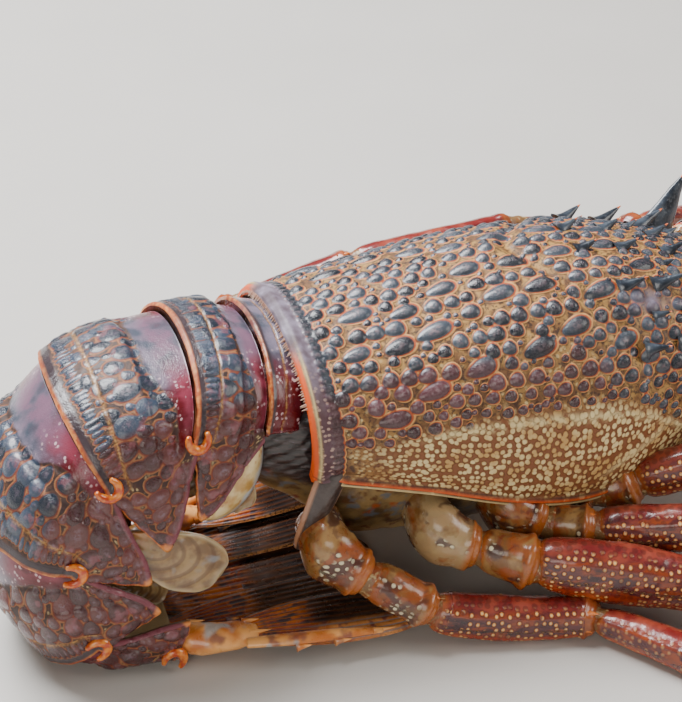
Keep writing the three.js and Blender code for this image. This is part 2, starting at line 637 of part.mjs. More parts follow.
function abdomenRing(segment, t, grow) {
  const station = segment + t;
  const rise = plateRise(t) + grow;
  const ring = [];
  for (let k = 0; k <= BACK_TURNS; k += 1) ring.push(backPoint(station, (Math.PI * k) / BACK_TURNS, rise));
  const tip = FLAP_TIPS[segment - 1];
  const drift = abdomenDrift(station);
  const base = point(hingeX(station), 0, hingeZ(station));
  const inward = point(hingeX(station) - crestX(station), 0, hingeZ(station) - crestZ(station)).normalize();
  const reach = tip ? flapReach(clamp(t, 0, 1)) : 0.1;
  const hang = tip
    ? point(tip[0] - hingeX(segment + FLAP_AT), 0, tip[1] - hingeZ(segment + FLAP_AT)).multiplyScalar(reach)
    : inward.clone().multiplyScalar(1.5);
  hang.addScaledVector(hang.clone().normalize(), grow);
  const flare = tip ? (tip[2] - abdomenWide(station)) * reach : 0;
  const wide = abdomenWide(station) + grow;
  const thick = PLEURON_THICK + 2 * grow;
  const flap = (share, inset) => (side) => base.clone().addScaledVector(hang, share)
    .add(point(0, drift + side * (wide + flare * share - inset), 0));
  const [outMid, outTip, inTip] = [flap(0.5, -0.6), flap(1, 0.3), flap(1, thick - PLEURON_THICK * 0.4)];
  const belly = inward.clone().multiplyScalar(5 + grow).add(base);
  const under = (share) => belly.clone().add(point(0, drift + share * (wide - thick), 0));
  ring.push(outMid(1), outTip(1), inTip(1), under(1), under(0), under(-1), inTip(-1), outTip(-1), outMid(-1));
  return ring;
}

// Body of one segment; reach lengthens it at both ends
function abdomenBody(segment, grow = 0, reach = grow) {
  const share = segment === 0 ? [0, 0.4, 1] : [0, 0.22, 0.38, 0.6, 0.82, 1];
  const ease = (reach - GAP / 2) / SEGMENT_LENGTH;
  return loft(share.map((t) => abdomenRing(segment, t + (t === 1 ? ease : t === 0 ? -ease : 0), grow)));
}
const abdomenTools = (segment, gap = LAP_GAP) => [abdomenBody(segment, gap), abdomenBody(segment, 0, gap)];

// Scutes across the back of one segment
function abdomenScutes(segment) {
  if (segment === 0) return [];
  const draw = dice(20 + segment);
  const pieces = [];
  const spread = segment === 5 ? 0.4 : 0.6;
  const count = 4;
  for (const [t, size] of [[0.56, 1.1], [0.82, 0.9]]) {
    for (let k = 0; k < count; k += 1) {
      const angle = Math.PI * (0.5 + spread * ((k + 0.3 + 0.4 * draw()) / count - 0.5));
      const at = backPoint(segment + t, angle, plateRise(t));
      const ahead = backPoint(segment + t + 0.05, angle, plateRise(t)).sub(at);
      const round = backPoint(segment + t, angle + 0.05, plateRise(t)).sub(at);
      const normal = ahead.clone().cross(round).normalize();
      const out = at.clone().sub(point(hingeX(segment + t), at.y * 0.2, hingeZ(segment + t)));
      if (normal.dot(out) < 0) normal.negate();
      pieces.push(scute(at, normal, round, 3.6 * size, 2.1 * size, 0.8));
    }
  }
  return pieces;
}

// Swimming leaves under segments 2 to 5: place along the belly, tip and greatest half width
const LEAVES = [
  { station: 1.6, tip: [-12, 32], wide: 5.5, inset: 5 },
  { station: 2.6, tip: [-24, 41], wide: 4, inset: 9 },
  { station: 3.4, tip: [-22.5, 22.5], wide: 8, inset: 1 },
  { station: 4.5, tip: [-34, 15], wide: 4, inset: 9 },
];
const LEAF_OUTLINE = [[0, 0.25], [0.2, 0.3], [0.42, 0.72], [0.66, 1], [0.87, 0.8], [1, 0.3]];

function swimLeaf({ station, tip, wide, inset }, side) {
  const inward = point(hingeX(station) - crestX(station), 0, hingeZ(station) - crestZ(station)).normalize();
  const aside = abdomenDrift(station) + side * (abdomenWide(station) - inset);
  const root = point(hingeX(station), aside, hingeZ(station)).addScaledVector(inward, 5);
  const axis = point(tip[0], root.y, tip[1]).sub(root);
  const across = point(-axis.z, 0, axis.x).normalize();
  const rings = LEAF_OUTLINE.map(([share, scale]) => {
    const at = root.clone().addScaledVector(axis, share);
    return [[-1, -0.3], [0, -0.55], [1, -0.3], [1, 0.3], [0, 0.55], [-1, 0.3]]
      .map(([a, b]) => at.clone().addScaledVector(across, a * wide * scale).add(point(0, b, 0)));
  });
  return loft(rings);
}

// Tail fan

// Plate of the fan: an outline of half widths along its length, with rays raised on its upper face
function fanPlate({ root, tip, outline, thick, rays }) {
  const start = point(...root);
  const axis = point(...tip).sub(start);
  const long = axis.length();
  axis.normalize();
  const side = point(0, 0, 1).cross(axis).normalize();
  const lanes = 2 * rays + 1;
  const rings = outline.map(([share, wide]) => {
    const at = start.clone().addScaledVector(axis, share * long);
    const upper = [];
    const lower = [];
    for (let k = 0; k < lanes; k += 1) {
      const across = blend(-wide, wide, k / (lanes - 1));
      const ridge = k % 2 === 1 && share > 0.12 ? 0.45 : 0;
      const round = 1 - 0.35 * (across / (wide + 0.01)) ** 2;
      upper.push(at.clone().addScaledVector(side, across).add(point(0, 0, thick * round * 0.5 + ridge)));
      lower.push(at.clone().addScaledVector(side, across).add(point(0, 0, -thick * round * 0.5)));
    }
    return [...upper, ...lower.reverse()];
  });
  return loft(rings);
}

const FAN_OUTLINE = [[0, 0.3], [0.12, 0.62], [0.35, 0.9], [0.62, 1], [0.85, 0.86], [0.95, 0.62], [1, 0.28]];
const fanShape = (wide) => FAN_OUTLINE.map(([share, scale]) => [share, scale * wide]);

function telson() {
  const outline = fanShape(12);
  return fanPlate({ root: [-35.6, FAN_DRIFT, 0.7], tip: [22, FAN_DRIFT, 0.7], outline, thick: 1.8, rays: 3 });
}
function innerVane(side, grow = 0) {
  const y = (value) => FAN_DRIFT + side * value;
  const thick = FAN_PLATE + 2.6 * grow;
  const outline = fanShape(9 + grow);
  return fanPlate({ root: [-35.6, y(13), 3], tip: [25, y(16), 3], outline, thick, rays: 3 });
}
function outerVane(side) {
  const y = (value) => FAN_DRIFT + side * value;
  const stem = limb([
    [-35.5, y(19), 5.4, 3, 3.4], [-27, y(22), 5.4, 4.2, 3.2],
    [-20, y(23), 5.4, 4, 2.2], [-16, y(24), 5.4, 3, 1.2],
  ]);
  const outline = fanShape(9);
  const [root, tip] = [[-21, y(22), 5.4], [25, y(28), 5.2]];
  return join([stem, fanPlate({ root, tip, outline, thick: FAN_PLATE, rays: 3 })]);
}

// Assembly

const floor = underFloor();
const SHELL = { color: 0x5a5560, roughness: 0.4 };
const LEG = { color: 0xa8432a, roughness: 0.35 };
const FLESH = { color: 0xc9b48a, roughness: 0.6 };
const MEMBRANE = { color: 0xd9c79c, roughness: 0.45 };
const DARK = { color: 0x15100e, roughness: 0.15 };

const parts = [];
function add(name, piece, finish, tools = []) {
  parts.push({ name, piece: largest(cut(piece, [...tools, floor])), finish });
}

const shellTool = carapaceBody(GAP);
const thoraxTool = thoraxBody(GAP);
const headTool = headBody(GAP);
const SIDES = [['right', -1], ['left', 1]];

add('carapace', carapace(), SHELL);
add('thorax', thoraxBody(), FLESH, [shellTool]);
add('head', headBody(), SHELL, [shellTool, thoraxTool]);
for (const [side, sign] of SIDES) {
  add(`eye_${side}`, eye(sign), DARK, [shellTool, headTool]);
  add(`antenna_base_${side}`, peduncle(sign), SHELL, [shellTool, headTool, thoraxTool]);
  add(`antenna_whip_${side}`, whip(sign, 0, WHIP_JOIN, 10), LEG);
  add(`antenna_tip_${side}`, whip(sign, WHIP_JOIN + GAP, FLAGELLUM_LENGTH, 10), LEG);
  add(`antennule_${side}`, antennule(sign), LEG, [headTool, shellTool]);
  add(`mouth_leg_${side}`, mouthLeg(sign), LEG, [headTool, shellTool, thoraxTool]);
}
const legTools = [shellTool, thoraxTool, headTool];
for (const name of Object.keys(LEGS)) {
  for (const part of ['upper', 'lower']) {
    add(`leg_${name}_${part}`, legPart(name, part), LEG, legTools);
    legTools.push(legPart(name, part, GAP));
  }
}
for (let segment = 0; segment < 6; segment += 1) {
  const tools = [shellTool, thoraxTool, ...(segment > 0 ? abdomenTools(segment - 1) : [])];
  const next = segment < 5 ? [abdomenBody(segment + 1, LAP_GAP)] : [];
  const scutes = abdomenScutes(segment).map((piece) => cut(piece, next));
  add(`abdomen_${segment + 1}`, join([abdomenBody(segment), ...scutes]), SHELL, tools);
}
const tailTools = abdomenTools(5, 2 * GAP);
const bellyTools = [1, 2, 3, 4, 5].flatMap((segment) => abdomenTools(segment, 2 * GAP));
add('telson', telson(), SHELL, tailTools);
for (const [side, sign] of SIDES) {
  add(`fan_inner_${side}`, innerVane(sign), MEMBRANE, tailTools);
  const besideFan = [...abdomenTools(5), ...legTools, innerVane(sign, 2 * GAP)];
  add(`fan_outer_${side}`, outerVane(sign), SHELL, besideFan);
  for (const [order, leaf] of LEAVES.entries()) {
    add(`swim_leaf_${order + 1}_${side}`, swimLeaf(leaf, sign), MEMBRANE, [...bellyTools, thoraxTool]);
  }
}

// Each solid becomes one named mesh, and the whole is set with its box centred over the origin
const lobster = new THREE.Group();
for (const { name, piece, finish } of parts) {
  const { vertProperties, triVerts } = piece.getMesh();
  const geometry = new THREE.BufferGeometry();
  geometry.setAttribute('position', new THREE.BufferAttribute(new Float32Array(vertProperties), 3));
  geometry.setIndex(new THREE.BufferAttribute(new Uint32Array(triVerts), 1));
  geometry.computeVertexNormals();
  const mesh = new THREE.Mesh(geometry, new THREE.MeshStandardMaterial({ metalness: 0, ...finish }));
  mesh.name = name;
  lobster.add(mesh);
}
const middle = new THREE.Box3().setFromObject(lobster).getCenter(point(0, 0, 0));
lobster.position.set(-middle.x, -middle.y, 0);
lobster.updateMatrixWorld(true);

export default lobster;
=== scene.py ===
# Dressed model of a spiny lobster, life size, abdomen curled under the body.
# Lengths are worked out in millimetres in the animal's own frame: x from the rear rim of the
# carapace towards the head, y to its left, z up from the floor. They become metres in each mesh.
import math
import random

import bpy
import numpy as np
from mathutils import Matrix, Vector


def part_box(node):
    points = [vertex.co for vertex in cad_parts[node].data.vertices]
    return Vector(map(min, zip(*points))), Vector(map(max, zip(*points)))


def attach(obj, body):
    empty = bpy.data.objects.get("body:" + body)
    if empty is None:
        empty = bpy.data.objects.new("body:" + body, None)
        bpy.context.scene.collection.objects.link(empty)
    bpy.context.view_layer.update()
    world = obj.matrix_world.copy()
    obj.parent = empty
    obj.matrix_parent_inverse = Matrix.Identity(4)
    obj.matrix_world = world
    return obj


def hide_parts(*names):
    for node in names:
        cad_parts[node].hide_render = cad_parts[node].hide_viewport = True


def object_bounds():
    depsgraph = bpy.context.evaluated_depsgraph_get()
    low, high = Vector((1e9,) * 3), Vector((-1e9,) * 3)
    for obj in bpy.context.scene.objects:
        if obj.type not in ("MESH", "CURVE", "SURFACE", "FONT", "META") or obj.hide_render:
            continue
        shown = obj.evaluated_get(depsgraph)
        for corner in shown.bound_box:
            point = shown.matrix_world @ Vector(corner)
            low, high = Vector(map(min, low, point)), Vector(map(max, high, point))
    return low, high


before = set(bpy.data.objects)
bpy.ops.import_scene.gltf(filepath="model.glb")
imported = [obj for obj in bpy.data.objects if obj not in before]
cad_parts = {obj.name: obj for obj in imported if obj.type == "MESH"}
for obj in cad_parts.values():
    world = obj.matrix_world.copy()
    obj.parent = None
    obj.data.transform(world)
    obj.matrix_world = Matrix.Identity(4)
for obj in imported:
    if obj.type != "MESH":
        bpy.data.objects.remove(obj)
solid_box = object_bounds()

PI = math.pi
UP = np.array([0, 0, 1.0])
SIDES = (("right", -1), ("left", 1))

# Spacing of the points of a skin, and the distance after which the marks east and north start again
DETAIL, CHART = 0.42, 200.0

shell_low, shell_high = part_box("carapace")
SHIFT = np.array([shell_low.x * 1000, (shell_low.y + shell_high.y) * 500, 0.0])


# Camera: the photograph's view

VIEW_TURN, VIEW_TIP, VIEW_AWAY = math.radians(-20), math.radians(34), 450.0
VIEW_TARGET, PIXELS_PER_MM, PHOTO_HIGH = (17.2, 0, 56.7), 4.2, 702


def place_camera():
    level = math.cos(VIEW_TIP)
    back = np.array([math.sin(VIEW_TURN) * level, -math.cos(VIEW_TURN) * level, math.sin(VIEW_TIP)])
    right = np.array([math.cos(VIEW_TURN), math.sin(VIEW_TURN), 0])
    data = bpy.data.cameras.new("view")
    data.lens = PIXELS_PER_MM * VIEW_AWAY * data.sensor_width / PHOTO_HIGH
    data.clip_start, data.clip_end = 0.01, 20
    camera = bpy.data.objects.new("view", data)
    place = Vector((VIEW_TARGET + SHIFT + back * VIEW_AWAY) / 1000)
    turned = Matrix([right, np.cross(back, right), back]).transposed().to_4x4()
    camera.matrix_world = Matrix.Translation(place) @ turned
    bpy.context.scene.collection.objects.link(camera)
    bpy.context.scene.camera = camera


# Finishes

class Signal:
    """Output of a node: arithmetic on it adds the nodes that work it out"""

    def __init__(self, finish, socket):
        self.finish, self.socket = finish, socket

    def math(self, operation, *others):
        return self.finish.node("ShaderNodeMath", {"operation": operation}, dict(enumerate([self, *others])))

    def __add__(self, other):
        return self.math("ADD", other)

    def __mul__(self, other):
        return self.math("MULTIPLY", other)

    def __sub__(self, other):
        return self.math("SUBTRACT", other)

    def __rsub__(self, other):
        return self * -1 + other

    __radd__, __rmul__ = __add__, __mul__

    def high(self, other):
        return self.math("MAXIMUM", other)

    def ease(self, start, end, low=0.0, high=1.0):
        """Smooth change from low at start to high at end"""
        return self.finish.node("ShaderNodeMapRange", {"interpolation_type": "SMOOTHSTEP"},
                                {"Value": self, "From Min": start, "From Max": end, "To Min": low, "To Max": high})


def paint(code):
    """Linear colour of a web colour code"""
    parts = [int(code[k:k + 2], 16) / 255 for k in (0, 2, 4)]
    return tuple(v / 12.92 if v < 0.04045 else ((v + 0.055) / 1.055) ** 2.4 for v in parts) + (1.0,)


class Finish:
    """Material of one principled shader; place is the spot on the object in millimetres"""

    def __init__(self, name):
        self.material = bpy.data.materials.new(name)
        self.material.use_nodes = True
        self.tree = self.material.node_tree
        self.shader = self.tree.nodes["Principled BSDF"]
        place = self.tree.nodes.new("ShaderNodeTexCoord")
        self.place = self.vector("SCALE", Signal(self, place.outputs["Object"]), {"Scale": 1000})

    def node(self, kind, settings=None, values=None, out=0):
        made = self.tree.nodes.new(kind)
        for key, value in (settings or {}).items():
            setattr(made, key, value)
        for key, value in (values or {}).items():
            self.feed(made.inputs[key], value)
        return Signal(self, made.outputs[out])

    def feed(self, socket, value):
        if isinstance(value, Signal):
            self.tree.links.new(value.socket, socket)
        else:
            socket.default_value = paint(value) if isinstance(value, str) else value

    def vector(self, operation, first, values=None):
        return self.node("ShaderNodeVectorMath", {"operation": operation}, {0: first, **(values or {})})

    def mark(self, name):
        """Value that the skins carry under this name, 0 where they carry none"""
        return self.node("ShaderNodeAttribute", {"attribute_name": name}, out="Fac")

    def chart(self):
        """Place on the unrolled surface in millimetres, from the marks east and north"""
        return self.node("ShaderNodeCombineXYZ", {},
                         {"X": self.mark("east") * CHART, "Y": self.mark("north") * CHART})

    def beads(self, size, jitter=0.75):
        """Distance to points set about evenly over the unrolled surface, in parts of their spacing"""
        return self.node("ShaderNodeTexVoronoi", {"voronoi_dimensions": "2D"},
                         {"Vector": self.chart(), "Scale": 1 / size, "Randomness": jitter})

    def noise(self, size, detail=2.0, rough=0.5, stretch=None, twist=0.0):
        """Cloudy noise about one half, with lumps of the given size in millimetres"""
        place = self.place if stretch is None else self.vector("MULTIPLY", self.place, {1: stretch})
        return self.node("ShaderNodeTexNoise", {}, {"Vector": place, "Scale": 1 / size, "Detail": detail,
                                                    "Roughness": rough, "Distortion": twist})

    def cells(self, size, jitter):
        """Distance to points about size millimetres apart in space, in parts of their spacing"""
        return self.node("ShaderNodeTexVoronoi", {},
                         {"Vector": self.place, "Scale": 1 / size, "Randomness": jitter})

    def mix(self, base, top, share):
        """Colour base with the given share of colour top laid over it"""
        made = self.tree.nodes.new("ShaderNodeMix")
        made.data_type = "RGBA"
        for socket, value in ((made.inputs[0], share), (made.inputs[6], base), (made.inputs[7], top)):
            self.feed(socket, value)
        return Signal(self, made.outputs[2])

    def layers(self, base, *coats):
        """Colour base with coats of (colour, share) laid over it in turn"""
        for top, share in coats:
            base = self.mix(base, top, share)
        return base

    def set(self, **values):
        """Feeds sockets of the shader, named with _ in place of spaces"""
        for key, value in values.items():
            self.feed(self.shader.inputs[key.replace("_", " ")], value)
        return self

    def now(self, name):
        """What feeds a socket of the shader so far"""
        return Signal(self, self.shader.inputs[name].links[0].from_socket)

    def bump(self, height, depth, strength):
        """Relief of the given depth in millimetres where height goes from 0 to 1"""
        self.set(Normal=self.node("ShaderNodeBump", {}, {"Height": height, "Distance": depth / 1000,
                                                          "Strength": strength}))
        return self


# Curves and surfaces

def profile(stations):
    """Smooth curve through [position, value] pairs, flat beyond both ends"""
    xs, ys = np.array(stations, float).T
    spread = [np.concatenate([v[1:], v[-1:]]) - np.concatenate([v[:1], v[:-1]]) for v in (xs, ys)]
    slope = spread[1] / spread[0]

    def curve(x):
        x = np.asarray(x, float)
        i = np.clip(np.searchsorted(xs, x, side="right") - 1, 0, len(xs) - 2)
        span = xs[i + 1] - xs[i]
        t = np.clip((x - xs[i]) / span, 0, 1)
        return (ys[i] * (2 * t**3 - 3 * t**2 + 1) + ys[i + 1] * (3 * t**2 - 2 * t**3)
                + slope[i] * span * (t**3 - 2 * t**2 + t) + slope[i + 1] * span * (t**3 - t**2))
    return curve


def steps(values):
    """Smooth curve through values at 0, 1, 2 and so on"""
    return profile(list(enumerate(values)))


def ease(x, start, end):
    """Smooth change from 0 at start to 1 at end"""
    t = np.clip((np.asarray(x, float) - start) / (end - start), 0, 1)
    return t * t * (3 - 2 * t)


def bell(x, middle, width):
    return np.exp(-(((x - middle) / width) ** 2))


def unit(v):
    return v / np.maximum(np.linalg.norm(v, axis=-1, keepdims=True), 1e-9)


def column(*parts):
    """Points from their coordinates, each a number or an array"""
    return np.stack(np.broadcast_arrays(*parts), -1)


def crossing(along, upward):
    """Two ways square to along and to each other, the second nearest to upward"""
    side = unit(np.cross(along, upward))
    return side, unit(np.cross(side, along))


def edged(rows):
    """Rows with the first and the last of them repeated"""
    return np.concatenate([rows[:1], rows, rows[-1:]])


def both_faces(values, like):
    """Values over one face of a plate, then over its other face, which runs back"""
    values = np.broadcast_to(values, like.shape[:2])
    return np.concatenate([values, values[:, ::-1]], 1)


def waves(points, size, seed):
    """Smooth random relief about zero, with lumps of the given size"""
    draw = np.random.default_rng(seed)
    total = np.zeros(points.shape[:-1])
    for octave in range(3):
        for _ in range(5):
            way = unit(draw.normal(size=3)) * 2 * PI / size * 2**octave
            total += np.sin(points @ way + draw.uniform(0, 2 * PI)) * 0.5**octave / 5
    return total


class Skin:
    """Grid of points over a surface, with a lift off it and named marks for its finish.
    Its scales are kept as reach, the distance from the nearest one in parts of its size, and dome, their height"""

    def __init__(self, points, wrap=False, outward=None):
        self.points, self.wrap, self.marks = np.asarray(points, float), wrap, {}
        self.rows, self.cols = self.points.shape[:2]
        self.lift, self.dome = np.zeros((self.rows, self.cols)), np.zeros((self.rows, self.cols))
        self.reach = np.full((self.rows, self.cols), 3.0)
        if wrap:
            wide = np.concatenate([self.points[:, -1:], self.points, self.points[:, :1]], 1)
            self.across = np.gradient(wide, axis=1)[:, 1:-1]
        else:
            self.across = np.gradient(self.points, axis=1)
        self.along = np.gradient(self.points, axis=0)
        self.normal = unit(np.cross(self.along, self.across))
        if outward is not None and (self.normal * (self.points - outward)).sum() < 0:
            self.normal = -self.normal

    def mark(self, name, values):
        self.marks[name] = np.clip(np.broadcast_to(values, self.lift.shape), 0, 1)
        return self

    def chart(self):
        """Marks each point with its distances along and across the grid"""
        east = np.cumsum(np.linalg.norm(self.along, axis=-1).mean(1))[:, None] + 0 * self.lift
        north = np.cumsum(np.linalg.norm(self.across, axis=-1).mean(0))[None, :] + 0 * self.lift
        return self.mark("east", (east % CHART) / CHART).mark("north", (north % CHART) / CHART)

    def stamp(self, row, col, size, long=1.0, ahead=None, high=0.5, tone=0.5, fringe=1.0):
        """One raised scale: size is its half width, long its stretch along the way ahead"""
        centre, normal = self.points[row, col], self.normal[row, col]
        ahead = self.along[row, col] if ahead is None else ahead
        ahead = unit(ahead - normal * (ahead @ normal))
        side = np.cross(normal, ahead)
        reach = size * max(long, 1) * 1.9
        rows = max(int(reach / max(np.linalg.norm(self.along[row, col]), 0.05)) + 1, 1)
        cols = max(int(reach / max(np.linalg.norm(self.across[row, col]), 0.05)) + 1, 1)
        r = np.arange(max(row - rows, 0), min(row + rows + 1, self.rows))
        c = np.arange(col - cols, col + cols + 1)
        c = np.unique(c % self.cols) if self.wrap else c[(c >= 0) & (c < self.cols)]
        block = np.ix_(r, c)
        arm = self.points[block] - centre
        u, v, w = arm @ ahead / (size * long), arm @ side / size, arm @ normal / size
        pinch = 1 - 0.22 * np.clip(-u, -1, 1.5)
        reach_here = np.sqrt(u**2 + (v / pinch) ** 2 + 0.5 * w**2)
        nearer = reach_here < self.reach[block]
        self.reach[block] = np.where(nearer, reach_here, self.reach[block])
        dome = np.sqrt(np.clip(1 - reach_here**2, 0, 1)) * high * (0.75 + 0.35 * np.clip(u, -1, 1))
        rim = bell(reach_here, 1.14, 0.13) * high * 0.22 * fringe * ease(u, -0.9, 0.3)
        self.dome[block] = np.where(nearer, dome + rim, self.dome[block])
        for name, value in (("tone", tone), ("fringe", fringe * ease(u, -1.0, 0.1))):
            field = self.marks.setdefault(name, np.zeros((self.rows, self.cols)))
            field[block] = np.where(nearer, value, field[block])

    def scatter(self, seed, sizes, spread, tries, keep, gap, stretch=1.0, shrink=1.0, few=1.0, high=0.0, steep=0.0,
                tone=None):
        """Fills the surface with scales, the largest of the half widths in sizes first. keep is the chance of one
        at each point, few that of the largest, and high plus steep times its half width a scale's height"""
        draw = random.Random(seed)
        shrink = np.broadcast_to(shrink, keep.shape)
        placed, radii = np.zeros((0, 3)), np.zeros(0)
        for size_here in sizes:
            for _ in range(tries):
                row, col = draw.randrange(self.rows), draw.randrange(self.cols)
                size = size_here * shrink[row, col] * draw.uniform(*spread)
                if size_here == sizes[0] and few < 1 and draw.random() >= few or draw.random() > keep[row, col]:
                    continue
                spot = self.points[row, col]
                if len(radii) and (((placed - spot) ** 2).sum(1) < ((radii + size) * gap) ** 2).any():
                    continue
                placed, radii = np.vstack([placed, spot]), np.append(radii, size)
                shade = draw.random() if tone is None else tone
                self.stamp(row, col, size, stretch * draw.uniform(0.85, 1.15), high=high + steep * size, tone=shade)

    def settled(self):
        """Final places, with the scales raised"""
        return self.points + self.normal * (self.lift + self.dome)[..., None]


def ring_skin(centre, across, up, wide, high, columns, squareness=0.0):
    """Skin of rings round a line of points, with half widths wide along across and high along up"""
    turn = 2 * PI * np.arange(columns) / columns
    across, up = (np.broadcast_to(way, centre.shape)[:, None] for way in (across, up))
    square = 1 + squareness * ((np.abs(np.cos(turn)) ** 3 + np.abs(np.sin(turn)) ** 3) ** (-1 / 3) - 1)
    wide, high = (np.reshape(size, (-1, 1)) * square for size in (wide, high))
    points = centre[:, None] + across * (np.cos(turn) * wide)[..., None] + up * (np.sin(turn) * high)[..., None]
    skin = Skin(points, wrap=True, outward=centre[:, None])
    skin.turn = turn
    return skin


class Piece:
    """One mesh of the model, gathered from skins; a face of three points has -1 as its fourth"""

    def __init__(self, name):
        self.name = name
        self.spots, self.faces, self.marks, self.count = [], [], [], 0

    def add(self, skin, caps=False):
        spots = skin.settled()
        index = np.arange(spots.shape[0] * spots.shape[1]).reshape(spots.shape[:2]) + self.count
        a, b = index[:-1], index[1:]
        if skin.wrap:
            faces = np.stack([a, b, np.roll(b, -1, 1), np.roll(a, -1, 1)], -1)
        else:
            faces = np.stack([a[:, :-1], b[:, :-1], b[:, 1:], a[:, 1:]], -1)
        skin.marks["scale"] = np.clip(1 - skin.reach / 2, 0, 1)
        self.take(spots.reshape(-1, 3), faces.reshape(-1, 4), {k: v.ravel() for k, v in skin.marks.items()})
        if caps:
            for row, turn in ((0, -1), (-1, 1)):
                self.cap(spots[row].mean(0), index[row][::turn], {k: v[row].mean() for k, v in skin.marks.items()})
        return self

    def take(self, spots, faces, marks):
        self.spots.append(spots)
        self.faces.append(faces)
        self.marks.append((len(spots), marks))
        self.count += len(spots)

    def cap(self, centre, ring, marks):
        """Closes a ring with a fan of triangles"""
        spokes = [np.full(len(ring), self.count), ring, np.roll(ring, -1), np.full(len(ring), -1)]
        self.take(centre[None], np.stack(spokes, -1), {k: np.array([v]) for k, v in marks.items()})

    def mesh(self):
        """Mesh in metres, nothing of it under the floor, with the marks as its attributes"""
        spots = (np.concatenate(self.spots) + SHIFT) / 1000
        spots[:, 2] = np.maximum(spots[:, 2], 0)
        faces = np.concatenate(self.faces)
        triangles, quads = faces[faces[:, 3] < 0][:, :3], faces[faces[:, 3] >= 0]
        mesh = bpy.data.meshes.new(self.name)
        mesh.vertices.add(len(spots))
        mesh.vertices.foreach_set("co", spots.astype(np.float32).ravel())
        loops = np.concatenate([quads.ravel(), triangles.ravel()])
        mesh.loops.add(len(loops))
        mesh.loops.foreach_set("vertex_index", loops.astype(np.int32))
        sizes = np.concatenate([np.full(len(quads), 4), np.full(len(triangles), 3)])
        mesh.polygons.add(len(sizes))
        mesh.polygons.foreach_set("loop_start", (np.cumsum(sizes) - sizes).astype(np.int32))
        mesh.update(calc_edges=True)
        mesh.validate()
        mesh.shade_smooth()
        for name in sorted({name for _, marks in self.marks for name in marks}):
            values = np.concatenate([np.broadcast_to(marks.get(name, 0.0), count) for count, marks in self.marks])
            mesh.attributes.new(name, "FLOAT", "POINT").data.foreach_set("value", values.astype(np.float32))
        return mesh

    def finish(self, finish, slot, *nodes):
        """Makes the object with its material, and lets it stand for its nodes"""
        made = bpy.data.objects.new(self.name, self.mesh())
        made.data.materials.append(finish.material)
        bpy.context.scene.collection.objects.link(made)
        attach(made, "root")
        if nodes:
            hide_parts(*nodes)


# Finish shared by the scaled parts

GRAIN_CREAM = "dcc690"


def shell_finish(name, top, low, ring, ground, wet=0.22):
    """Scaled shell: dark polished scales in bristly rings over a grainy ground. top and low colour the scales
    of the back and of the flanks, the last colour of low being a painted highlight on their crowns, ring the
    bristles, and ground the shell between them"""
    f = Finish(name)
    scale, tone, side = f.mark("scale"), f.mark("tone"), f.mark("flank")
    fringe, tip, cream = f.mark("fringe"), f.mark("tip"), f.mark("cream")
    cloud, grit, hair = f.noise(7.0, 3), f.noise(0.9, 3, 0.6), f.noise(0.35, 2)
    patch = (cloud * 0.8 + tone * 0.5 - 0.15).ease(0.3, 0.75)
    # Painted highlight: the last colour of low, laid in patches on the crown of each scale
    crown = scale.ease(0.62, 0.95) * grit.ease(0.4, 0.62)
    dark = f.layers(f.mix(top[0], top[1], patch), (f.mix(low[0], low[1], patch), side.ease(0.35, 0.7)),
                    (low[2], crown * (tone * 0.5 + 0.2)))
    dots = f.beads(1.6)
    worn = (f.noise(2.2, 3) - 0.58) * 0.6
    ball = (dots + worn + (grit - 0.5) * 0.15).ease(0.5, 0.36)
    grain = f.mix("8c5c2c", f.mix("bc9458", GRAIN_CREAM, cloud.ease(0.35, 0.6)), (dots + worn).ease(0.42, 0.2))
    stray = dots.ease(0.32, 0.22) * f.noise(3, 2).ease(0.5, 0.6)
    # The third ground colour gives dark grit, and in a margin round the cream granules it is painted shade at their
    # foot
    soil = f.layers(f.mix(ground[0], ground[1], f.noise(3.0, 3).ease(0.38, 0.62)),
                    (ground[2], grit.ease(0.5, 0.6) * 0.8), (low[0], side * 0.25), (ground[3], cream),
                    (ground[2], cream * dots.ease(0.5, 0.36) * (1 - ball) * 0.7), (grain, cream * ball),
                    (GRAIN_CREAM, side * (1 - cream) * stray * 0.6))
    edge = scale + (hair - 0.5) * 0.045
    ringed = edge.ease(0.3, 0.36) * (fringe * 0.7 + 0.3).ease(0.2, 0.6)
    bristles = f.mix(f.mix(ring[1], ground[1], hair.ease(0.5, 0.75) * 0.6), ring[0], edge.ease(0.385, 0.43))
    f.set(Base_Color=f.layers(soil, (ground[2], edge.ease(0.22, 0.3) * 0.5), (bristles, ringed),
                              (dark, edge.ease(0.455, 0.49)), (ring[2], f.mark("orange")), ("d9581c", tip),
                              (GRAIN_CREAM, f.mark("pale"))),
          Roughness=edge.ease(0.45, 0.56, 0.6, wet) + (cloud - 0.5) * 0.12,
          Coat_Weight=edge.ease(0.44, 0.56, 0.06, 0.45), Coat_Roughness=0.12)
    return f.bump(hair * 0.25 + grit * 0.3 + cream * ball * 1.3 + ringed * f.noise(0.25, 2) * 0.6, 0.3, 0.9)


# Carapace

RIM = 4.6
shell_top = profile([[0, 72], [30, 74.8], [58, 77.6], [82, 75.5], [105, 68.5], [120, 62.5]])
shell_margin = profile([[0, 42], [27, 34.5], [51, 26.5], [70, 23.8], [94, 28.5], [108, 36], [120, 44]])
shell_width = profile([[0, 34.5], [27, 39.5], [55, 43], [78, 42.5], [100, 36], [120, 25]])
shell_keel = profile([[15, 0.10], [26, 0.138], [38, 0.155], [58, 0.163], [79, 0.143], [93, 0.08], [100, 0.05]])
SHELL_FRONT, ROSTRUM_REACH, SHELL_TUCK, SHELL_THICK = 101, 16, 0.2, 1.7


def shell_place(x, angle, out=0.0):
    """Point of the carapace: angle 0 is the right lower edge, half a turn the left one"""
    rise = np.sin(angle)
    y = -(shell_width(x) * (1 - SHELL_TUCK * (1 - rise) ** 2) + out) * np.cos(angle)
    return column(x, y, shell_margin(x) + (shell_top(x) - shell_margin(x) + out) * rise)


